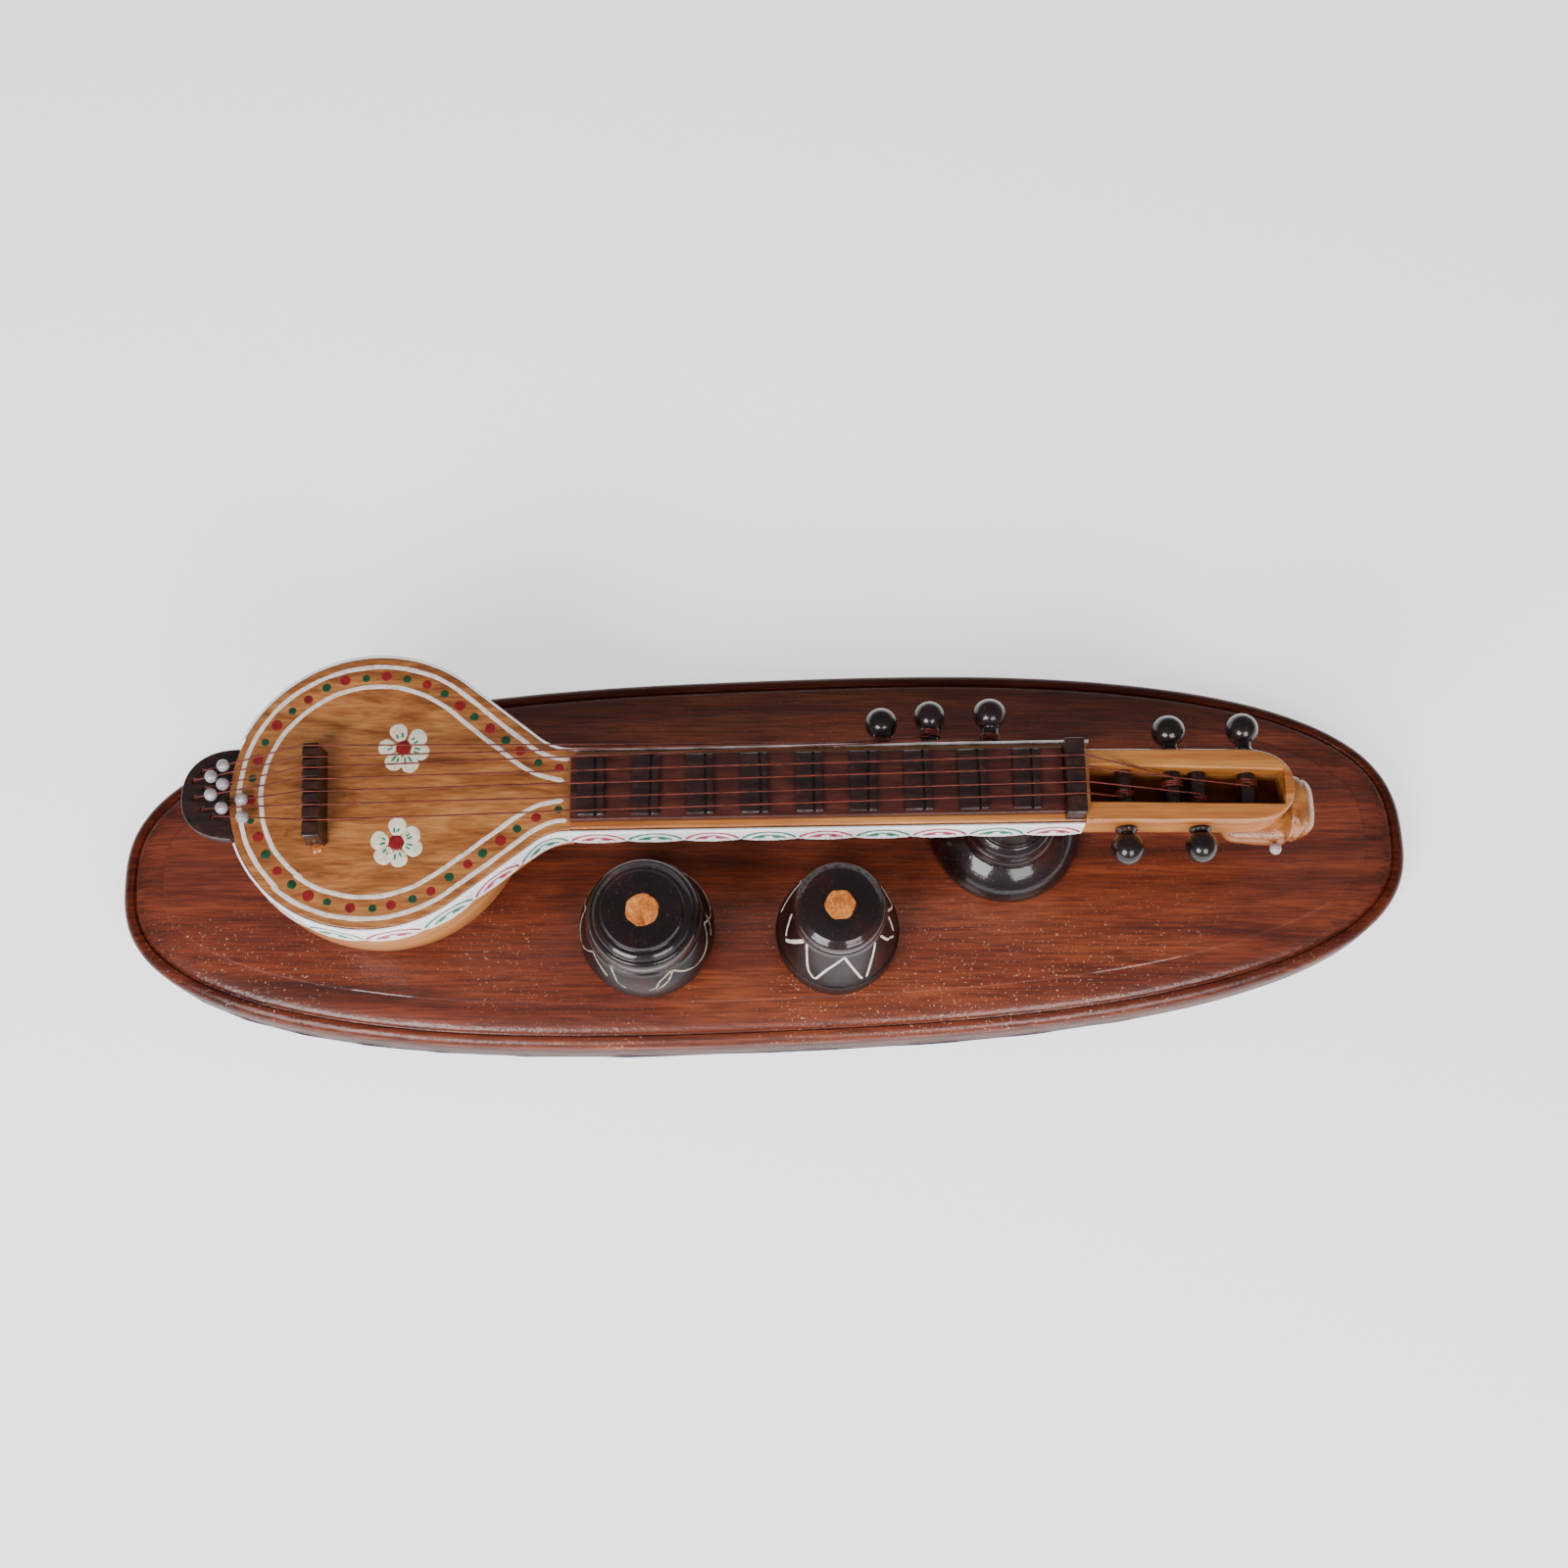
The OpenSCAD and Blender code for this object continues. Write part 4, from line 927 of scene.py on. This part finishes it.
def makeBand(s, name, node):
    u, p, n, lean = bandPath(s)
    lobe = (u / band["pitch"]) % 1
    cut = 1.5 * (1 - np.sin(np.pi * lobe) ** 0.55) + 0.22 * np.abs(wave(u, 61 + s, 5.0)) + 0.12 * wave(u, 63 + s, 1.3)
    depth = np.clip(band["height"] - cut, 5.5, band["height"] - 0.02)

    def at(v, out):
        # A point v below the band's top, at a distance out from the wood
        f = v / band["height"]
        xy = p + n * (out + f * lean)[:, None]
        return level(xy, inst["deck"] - v)

    g, o = band["gap"], band["gap"] + band["thk"]
    zero = np.zeros(len(u))
    rows = [(zero + 0.06, g), (zero, g + 0.06), (zero, o - 0.1), (zero + 0.1, o), (0.3 * depth, o), (0.65 * depth, o),
            (depth - 0.12, o), (depth, o - 0.12), (depth, g + 0.08), (0.65 * depth, g), (0.3 * depth, g)]
    rows = [at(v, out) for v, out in rows]
    addMesh(name, ringShell(np.stack(rows, 1)), looks["bandWhite"], nodes=[node], angle=45)
    inks = {0: [], 1: []}

    def stroke(u0, u1, shape, width, kind):
        t = np.linspace(0, 1, max(8, int((u1 - u0) / 0.3)))
        uu = u0 + (u1 - u0) * t
        v = shape(t) + 0.12 * wave(uu, int(u0) + 5, 1.4)
        pick = lambda c: np.interp(uu, u, c)
        out = o + pick(lean) * v / band["height"]
        nx, ny = pick(n[:, 0]), pick(n[:, 1])
        path = np.column_stack([pick(p[:, 0]) + nx * out, pick(p[:, 1]) + ny * out, inst["deck"] - v])
        inks[kind].append(ribbon(path, np.column_stack([nx, ny, np.zeros(len(uu))]), width, 0.04, 0.05))

    k = 0
    while (k + 1) * band["pitch"] < u[-1]:
        a, w, kind = k * band["pitch"], band["pitch"], k % 2
        stroke(a + 0.5, a + w - 0.5, lambda t: 6.1 - 4.3 * np.sin(np.pi * t) ** 0.6, 0.85, kind)
        stroke(a + 2.6, a + w - 2.6, lambda t: 6.3 - 2.3 * np.sin(np.pi * t) ** 0.7, 0.8, kind)
        stroke(a + 3.6, a + 5.6, lambda t: 5.8 - 0.8 * t, 1.2, kind)
        stroke(a + w - 5.4, a + w - 3.4, lambda t: 5.0 + 0.8 * t, 1.2, kind)
        k += 1
    addMesh(name + "Pink", inks[0], looks["pinkInk"])
    addMesh(name + "Green", inks[1], looks["greenInk"])


makeBand(-1, "bandNear", "side_band_near")
makeBand(1, "bandFar", "side_band_far")
print("bands ready")


# Gourd and drums
# Each profile goes up from the foot, as (distance in from the radius, height); heights below zero
# are measured down from the top
turnings = {
    "gourd": {
        "at": (56.0, neckY(56.0)), "r": 17.4, "h": 26.0,
        "profile": [
            (0.9, 0), (0.15, 0.9), (0, 2.2), (0.5, 4.2), (1.9, 6.3), (3.8, 8.1), (5.6, 9.3), (6.1, 9.5), (6.2, 10.3),
            (6.9, 11.2), (7.3, 11.4), (7.1, 12.2), (7.3, 13.6), (8.6, 15), (9.3, 15.4), (9.4, 18), (9.1, 22),
            (8.8, 24.6), (8.7, 26)]},
    "bayan": {
        "at": (-26.5, -21.6), "r": 15.2, "h": 29.0, "plug": 3.75, "sides": 0.0, "skirt": 7.4,
        "profile": [
            (4.8, 0), (3.2, 1.2), (0.9, 6.4), (0, 12), (0.7, -11.6), (2.1, -7.6), (2.8, -7), (2.5, -6.2), (2.7, -3.6),
            (3.4, -2.5), (4.2, -2.2), (4.3, -1.4), (5.2, -0.8), (6, -0.7), (6.5, 29)]},
    "dayan": {
        "at": (16.3, -21.0), "r": 14.0, "h": 31.0, "plug": 3.4, "sides": 0.05, "skirt": 4.6,
        "profile": [
            (1.4, 0), (0.7, 1.8), (0, 6.8), (0.1, 10), (0.6, 10.6), (0.6, 11.4), (2.2, -11), (3.6, -4.6), (4.1, -4.1),
            (3.8, -3.2), (4.1, -1.5), (5, -0.6), (5.8, 31)]}}


def turnedProfile(key, steps):
    d = turnings[key]
    return catmull([(d["r"] - inset, z if z >= 0 else d["h"] + z) for inset, z in d["profile"]], steps)


def surfacePath(key, points):
    # Points given as (degrees, height) laid on a turned surface, with the surface's normals
    prof = turnedProfile(key, 10)
    z = np.maximum.accumulate(prof[:, 1]) + np.arange(len(prof)) * 1e-7
    path = catmull(points, 10)
    th, zz = np.radians(path[:, 0]), path[:, 1]
    r = np.interp(zz, z, prof[:, 0])
    slope = (np.interp(zz + 0.3, z, prof[:, 0]) - np.interp(zz - 0.3, z, prof[:, 0])) / 0.6
    normal = unit(np.column_stack([np.cos(th), np.sin(th), -slope]))
    return level(circle(th, r) + turnings[key]["at"], board["top"] + zz), normal


def makeTurned(key, name, node, tone):
    # A black lacquered body turned about Z that stands on the board
    d = turnings[key]
    shell = lathe(np.vstack([[(0, 0)], turnedProfile(key, 8), [(0, d["h"])]]), (*d["at"], board["top"]), 160)
    addMesh(name, shell, looks["lacquer"], nodes=[node], angle=40, tone=tone)


def makeDrum(key):
    d = turnings[key]
    skirtZ = board["top"] + d["h"] - d["skirt"]
    makeTurned(key, key, key + "_body", lambda v: (skirtZ - v[:, 2]) / 0.8)
    rough = lambda t: 0.035 * wave(t, 8 + len(key), 5) + d["sides"] * np.cos(6 * t) - 0.03
    plug, top = d["plug"], d["h"] + 0.13
    prof = [(0, 0), (plug, 0), (plug, top - 0.12), (plug - 0.12, top), (plug * 0.5, top), (0, top - 0.04)]
    addMesh(key + "Plug", lathe(prof, (*d["at"], board["top"]), 48, wobble=rough), looks["raw"],
            nodes=[key + "_plug"], angle=40)


def paintDrum(key, name, look, strokes, widths, seed, uneven):
    # Brush strokes on a drum, each a list of (degrees, height)
    lines = []
    for k, (pts, width) in enumerate(zip(strokes, widths)):
        pos, nor = surfacePath(key, pts)
        wide = width + uneven * wave(np.arange(len(pos)) / 4, k + seed, 1)
        lines.append(ribbon(pos, nor, wide, 0.08, 0.12))
    addMesh(name, lines, looks[look])


lacing = [
    [(-122.7, 21.8), (-117.5, 19.6), (-112.9, 17.1), (-106, 15.9)],
    [(-86, 15.8), (-80, 16.6), (-74.7, 19.2), (-61.8, 21.4)],
    [(-80, 15.5), (-69, 17.9), (-61.3, 21)],
    [(-146, 21), (-133.2, 19.4), (-124.1, 17.6)],
    [(-61, 21.3), (-50, 18.4), (-38, 16.5), (-26, 16.6), (-14, 18.8), (-4, 21.3)],
    [(-10, 16.6), (-2, 18.2), (6, 20.6)],
    [(-4, 21.2), (8, 17.4), (24, 16), (40, 17.4), (56, 21.3)],
    [(56, 21.2), (68, 17.4), (84, 16), (100, 17.6), (114, 21.3)],
    [(114, 21.2), (126, 17.6), (140, 16), (156, 17.4), (170, 21.3)],
    [(170, 21.2), (184, 17.6), (197, 16.4), (206, 18.4), (214, 21.3)]]
zigzag = [
    [(-175, 26.4), (-169, 22), (-163, 17.9)],
    [(-159.8, 16.7), (-152, 20.3), (-145, 23.6), (-139, 26.3)],
    [(-133.5, 26.4), (-128.2, 21.6), (-122, 15.6), (-114.2, 12.7)],
    [(-113.2, 12.7), (-101.7, 20), (-84.4, 26.2)],
    [(-84.8, 26.2), (-74.9, 19.7), (-66.4, 12.8)],
    [(-61.7, 12.7), (-53.6, 19.4), (-43, 26.2)],
    [(-32.5, 26.1), (-25.1, 20.3), (-20, 18.6), (-14.3, 15.7)],
    [(-6.1, 25), (-8, 21), (-10.2, 17)],
    [(0, 26), (12, 19), (22, 13)],
    [(22, 13), (34, 19.6), (46, 26.2)],
    [(46, 26.2), (60, 19), (70, 13)],
    [(70, 13), (84, 19.6), (96, 26.2)],
    [(96, 26.2), (108, 19), (118, 13)],
    [(118, 13), (132, 19.6), (144, 26.2)],
    [(144, 26.2), (156, 19), (166, 13)]]

makeTurned("gourd", "gourd", "neck_gourd", lambda v: 0.9 * (1 - (v[:, 2] - board["top"]) / 3.4))
makeDrum("bayan")
makeDrum("dayan")
paintDrum("bayan", "bayanLacing", "creamPaint", lacing, [0.42] * len(lacing), 0, 0.14)
paintDrum("dayan", "dayanZigzag", "whitePaint", zigzag, [0.55, 0.95] + [0.55] * (len(zigzag) - 2), 30, 0.08)
print("drums ready")


# Bridge and tailpiece
bridge = {"x": -96.9, "len": 21.2, "wid": 3.7, "h": 6.5, "turn": 4.3, "y": 1.4, "notch": 0.4}
# Each wire's y at the bridge, its pearl's x, and its hole's y and x in the tailpiece
courses = [
    (11.3, -117.5, 8.4, -122.3), (8.7, -119.9, 6.0, -124), (6.3, -117.2, 4.2, -121.5), (3.7, -119.6, 1.9, -123.6),
    (0.9, -112.7, 0.6, -117.5), (-2.1, -116.9, -1.2, -121.6), (-5.5, -112, -3.6, -119.2)]
wireR = 0.175
seatZ = inst["deck"] + bridge["h"] - bridge["notch"]
tailTop = inst["deck"] - 0.7


def makeBridge():
    t = np.linspace(-bridge["len"] / 2, bridge["len"] / 2, 240)
    centres = [(c[0] - bridge["y"]) / math.cos(math.radians(bridge["turn"])) for c in courses]
    cut = notched(t, centres, 0.62, 0.55)
    rings = []
    base, w = inst["deck"], bridge["wid"] / 2
    for y, c in zip(t, cut):
        pull = endPull(y, bridge["len"] / 2, 0.5)
        top = base + bridge["h"] - c - 0.6 * pull - 0.03
        f = w - 0.5 * pull
        side = [(-f - 0.5, base), (-f - 0.45, base + 0.5), (-f - 0.05, base + 2), (-f, base + 3), (-f, top - 0.4),
                (-f + 0.12, top - 0.12), (-f + 0.4, top)]
        o = side + [(0, top + 0.02)] + [(-x, z) for x, z in side[::-1]]
        rings.append([(x, y, z) for x, z in o])
    verts, quads, tris = turned(ringShell(rings), bridge["turn"])
    shell = verts + (bridge["x"], bridge["y"], 0), quads, tris
    addMesh("bridge", shell, looks["bridge"], nodes=["bridge"])
    # A drop of glue squeezed out at the near foot
    t = quarter(8)
    profile = np.column_stack([1.5 * np.cos(t), 0.7 * np.sin(t)])
    drop = lathe(profile, (-95.8, -9.6, inst["deck"]), 32, wobble=lambda a: 0.2 * wave(a, 5, 1))
    addMesh("glueSpot", drop, looks["glue"])


def bridgeEdge(y):
    return bridge["x"] - bridge["wid"] / 2 - (y - bridge["y"]) * math.tan(math.radians(bridge["turn"]))


def bridgePoint(i):
    return np.array([bridgeEdge(courses[i][0]) - 0.05, courses[i][0], seatZ + wireR + 0.06])


def holePoint(i):
    b, c = bridgePoint(i), courses[i]
    t = (c[3] - b[0]) / (c[1] - b[0])
    return np.array([c[3], b[1] + (c[2] - b[1]) * t, tailTop + 0.8])


def beadPoint(i):
    b, h = bridgePoint(i), holePoint(i)
    return b + (h - b) * (courses[i][1] - b[0]) / (h[0] - b[0])


def makeTail():
    # A round-ended plate against the bowl with seven drilled holes, its rim and holes eased
    a = np.radians(np.linspace(90, 270, 70))
    x = inst["bowlX"] - inst["bowlR"] + 2 - 12.6 * np.abs(np.cos(a)) ** 0.85
    y = inst["y"] - 0.7 + 10.4 * np.sign(np.sin(a)) * np.abs(np.sin(a)) ** 0.85
    outer = np.column_stack([x, y])
    bowlFace = inst["bowlR"] + 0.06
    rel = outer - bowlAt
    rel = rel[np.linalg.norm(rel, axis=1) > bowlFace]
    a0, a1 = [math.atan2(rel[k, 1], rel[k, 0]) % (2 * np.pi) for k in (-1, 0)]
    outer = np.vstack([rel, circle(np.linspace(a0, a1, 30)[1:-1], bowlFace)]) + bowlAt
    t = np.linspace(0, 2 * np.pi, 24, endpoint=False)
    holes, holeR = [holePoint(i)[:2] for i in range(7)], 0.6
    z1, z0 = tailTop, tailTop - 2.5

    def offset(loop, d):
        nxt, prev = np.roll(loop, -1, 0), np.roll(loop, 1, 0)
        tan = nxt - prev
        nor = unit(np.column_stack([tan[:, 1], -tan[:, 0]]))
        area = np.sum(loop[:, 0] * nxt[:, 1] - nxt[:, 0] * loop[:, 1])
        return loop - np.sign(area) * nor * d

    def loops(d, z):
        return [level(offset(outer, d), z)] + [level(c + circle(t, holeR + 0.6 * d), z) for c in holes]

    levels = [loops(inset, z) for inset, z in [(0.15, z0), (0, z0 + 0.15)] + eased(0, z1, 0.3, 5)]
    flat = [np.vstack(level) for level in levels]
    size = len(flat[0])
    verts = np.vstack(flat)
    quads = []
    start = 0
    for loop in levels[0]:
        index = np.arange(len(loop)) + start
        nxt = np.roll(index, -1)
        for low in range(0, (len(levels) - 1) * size, size):
            quads.append(np.stack([index + low, nxt + low, nxt + low + size, index + low + size], -1))
        start += len(loop)
    top = np.array(tessellate_polygon([[Vector(p) for p in loop] for loop in levels[-1]]))
    quads = np.vstack(quads)
    # Walls run with the loops, so the outer wall and the hole walls need opposite senses
    turnWay = np.sum(outer[:, 0] * np.roll(outer[:, 1], -1) - np.roll(outer[:, 0], -1) * outer[:, 1])
    outerWall = (quads[:, 0] % size) < len(outer)
    flip = ~outerWall if turnWay > 0 else np.ones(len(quads), bool)
    quads[flip] = quads[flip][:, ::-1]
    topFaces, lowFaces = [], []
    for tri in top:
        flatTop = flat[-1][tri]
        area = np.cross(flatTop[1] - flatTop[0], flatTop[2] - flatTop[0])[2]
        up = tri if area > 0 else tri[::-1]
        topFaces.append(up + (len(levels) - 1) * size)
        lowFaces.append(up[::-1])
    shell = verts, quads, np.array(topFaces + lowFaces)
    addMesh("tailpiece", shell, looks["tail"], nodes=["tailpiece"], angle=30)


makeBridge()
makeTail()
print("bridge ready")


# Pegs, strings, windings and pearls
# Each peg's x, its side, its ball's y, and the way its turns of wire run
pegs = [
    (25.8, 1, 20.6, 1), (36.6, 1, 22.2, 1), (50, 1, 22.8, 1),
    (78.4, -1, -9.2, 1), (94.4, -1, -8.7, -1), (88.9, 1, 17.7, -1), (105.2, 1, 18.2, 1)]
peg = {"r": 2.0, "ball": 3.6, "mainZ": 45.5, "droneZ": 42.6, "socket": 6.0}
# Where each drone wire leaves the neck's edge (x), and its y at the peg
droneEnds = [(-2, 15), (18, 17), (39, 16)]


def pegZ(k):
    return peg["droneZ"] if k < 3 else peg["mainZ"]


def farY(x):
    return neckY(x) + inst["neckHalf"] / math.cos(math.radians(inst["turn"]))


def bandOuterY(x):
    return farY(x) + band["gap"] + band["thk"]


def pegTip(k):
    return farY(pegs[k][0]) - peg["socket"] + 0.3 if k < 3 else pegbox["y"] - pegs[k][1] * (4.2 + 2.9)


def makePeg(k):
    # Shaft, collar and ball turned about Y, as one profile of radius against distance from the tip
    x, s, ball = pegs[k][:3]
    tip = pegTip(k)
    face = bandOuterY(x) if k < 3 else pegbox["y"] + s * pegbox["half"]
    reach, collar = abs(ball - tip), abs(face + s * 0.3 - tip)
    r, b = peg["r"], peg["ball"]
    prof = [(0, 0), (r - 0.2, 0), (r, 0.2)]
    if k < 3:
        prof += [(r, collar), (r - 0.1, reach - 3.6), (r + 0.15, reach - 3.3)]
    else:
        prof += [(r, collar), (r + 0.45, collar + 0.08), (r + 0.45, collar + 0.3), (r - 0.1, collar + 0.9),
                 (r - 0.35, collar + 1.2), (r - 0.3, reach - 3.4)]
    neckR = prof[-1][0]
    a0 = math.asin(min(1, neckR / b))
    stretch = 1 + 0.03 * math.sin(k * 2.1)
    for a in np.linspace(a0, np.pi, 26):
        prof.append((b * math.sin(a) / stretch, reach - b * math.cos(a)))
    prof = [(max(0, rr), min(h, reach + b)) for rr, h in prof]
    heights = np.array([h for _, h in prof])
    prof = np.column_stack([[rr for rr, _ in prof], tip + s * np.maximum.accumulate(heights)])
    prof[-1, 0] = 0
    shell = lathe(prof, (x, 0, pegZ(k)), 64, axis="y", wobble=lambda a: 0.008 * wave(a, 20 + k, 1) - 0.008)
    addMesh(f"peg{k + 1}", shell, looks["lacquer"], f"turning_peg_{k + 1}", [f"peg_{k + 1}"], 38)


def rounded(points, reach=0.9):
    # Each bend of the route becomes a short curve
    pts = [np.asarray(p, float) for p in points]
    out = [pts[0]]
    for a, b, c in zip(pts, pts[1:], pts[2:]):
        d0, d1 = min(reach, 0.45 * np.linalg.norm(b - a)), min(reach, 0.45 * np.linalg.norm(c - b))
        p, q = b + (a - b) / np.linalg.norm(a - b) * d0, b + (c - b) / np.linalg.norm(c - b) * d1
        for t in np.linspace(0, 1, 6):
            out.append((1 - t) ** 2 * p + 2 * t * (1 - t) * b + t * t * q)
    out.append(pts[-1])
    return np.array(out)


def stringRoute(i):
    h, b = holePoint(i), bridgePoint(i)
    start = np.array([h[0], h[1], tailTop - 2.2])
    front = b + (bridge["wid"] / math.cos(math.radians(bridge["turn"])) + 0.1, 0, 0)
    if i < 3:
        e, k = droneEnds[i], i
        bend = (e[0], bandOuterY(e[0]) + 0.2, inst["deck"] + 0.25)
        endY = e[1]
    else:
        e = melodyEnds[i - 3]
        k = e[2] - 1
        bend = (nut["x1"] + 0.06, e[0], inst["deck"] + nut["height"] + wireR + 0.03)
        endY = e[1]
    end = (pegs[k][0], endY, pegZ(k) + peg["r"] + wireR + 0.02)
    route = [start, h, b, front, bend, end]
    return rounded(route, 0.7), k, endY


def makeStrings():
    for i in range(7):
        path, k, y = stringRoute(i)
        fine = []
        for a, b in zip(path, path[1:]):
            n = max(1, int(np.linalg.norm(b - a) / 3))
            fine.append(a + (b - a) * (np.arange(n) / n)[:, None])
        path = np.vstack(fine + [path[-1:]])
        s = np.linspace(0, 1, len(path))
        free = (path[:, 0] > -90) & (path[:, 0] < 60)
        hump = np.where(free, np.sin(np.clip((path[:, 0] + 90) / 150, 0, 1) * np.pi), 0)
        path[:, 1] += hump * 0.14 * wave(s * 9, 500 + i, 1)
        addMesh(f"string{i + 1}", tube(path, wireR), looks["copper"],
                nodes=[f"string_{i + 1}"], angle=60)
        # Turns of wire: a helix beside the string, from the top of the shaft
        x, side, ball, way = pegs[k]
        r, turns = peg["r"] + wireR + 0.01, 4.0
        t = np.linspace(0, 2 * np.pi * turns, int(26 * turns))
        pitch = 0.38 * (1 + 0.12 * wave(t / 3, 900 + k, 1))
        yy = y + way * (wireR + 0.05 + 0.17 + np.cumsum(np.gradient(t / (2 * np.pi)) * pitch))
        yy = np.clip(yy, *sorted((y + way * (wireR + 0.05 + wireR), y + way * (1.52 + wireR + 0.05))))
        coil = tube(np.column_stack([x + r * np.sin(t), yy, pegZ(k) + r * np.cos(t)]), wireR * 0.98, 8)
        addMesh(f"winding{k + 1}", coil, looks["copper"], f"turning_peg_{k + 1}",
                [f"winding_{k + 1}"], 60)
        addMesh(f"bead{i + 1}", sphere(beadPoint(i), 1.4), looks["pearl"], f"sliding_bead_{i + 1}",
                [f"bead_{i + 1}"])


for k in range(7):
    makePeg(k)
makeStrings()
print("strings ready")


# Floor, light and camera
def stageLook():
    look, tree, shader = newLook("paleFloor", Roughness=0.9)
    cloud = noise(tree, place(tree, (1.5,) * 3), 1.0, 2.0, 0.5)
    tree.links.new(greys(tree, cloud, 0.3, 0.7, 0.9, 0.92), shader.inputs["Base Color"])
    shader.inputs["Emission Color"].default_value = (1, 1, 1, 1)
    shader.inputs["Emission Strength"].default_value = 1.1
    return look


mesh = bpy.data.meshes.new("floor")
mesh.from_pydata([(-4, -4, 0), (4, -4, 0), (4, 4, 0), (-4, 4, 0)], [], [(0, 1, 2, 3)])
mesh.materials.append(stageLook())
floor = bpy.data.objects.new("floor", mesh)
scene.collection.objects.link(floor)

world = bpy.data.worlds.new("studio")
scene.world = world
world.use_nodes = True
sky = world.node_tree.nodes["Background"]
sky.inputs["Color"].default_value = (1, 1, 1, 1)
sky.inputs["Strength"].default_value = 0.26


def addLight(name, azimuth, elevation, distance, width, height, power):
    # An area light that looks at the middle of the object; azimuth is measured from +X
    a, e = math.radians(azimuth), math.radians(elevation)
    data = bpy.data.lights.new(name, "AREA")
    data.shape = "RECTANGLE"
    data.size, data.size_y, data.energy = width, height, power
    obj = bpy.data.objects.new(name, data)
    obj.location = Vector((math.cos(a) * math.cos(e), math.sin(a) * math.cos(e), math.sin(e))) * distance
    obj.rotation_mode = "QUATERNION"
    obj.rotation_quaternion = (-obj.location).to_track_quat("-Z", "Y")
    scene.collection.objects.link(obj)


addLight("boxLeft", -124, 38, 0.95, 0.44, 0.44, 10.5)
addLight("boxRight", -62, 38, 0.95, 0.4, 0.44, 6)

data = bpy.data.cameras.new("camera")
data.lens = 42.75
data.sensor_width = 36
data.clip_start, data.clip_end = 0.01, 20
camera = bpy.data.objects.new("camera", data)
camera.location = (0.00421, -0.12689, 0.43012)
camera.rotation_euler = (math.radians(19), 0, 0)
scene.collection.objects.link(camera)
scene.camera = camera

print("scene ready")
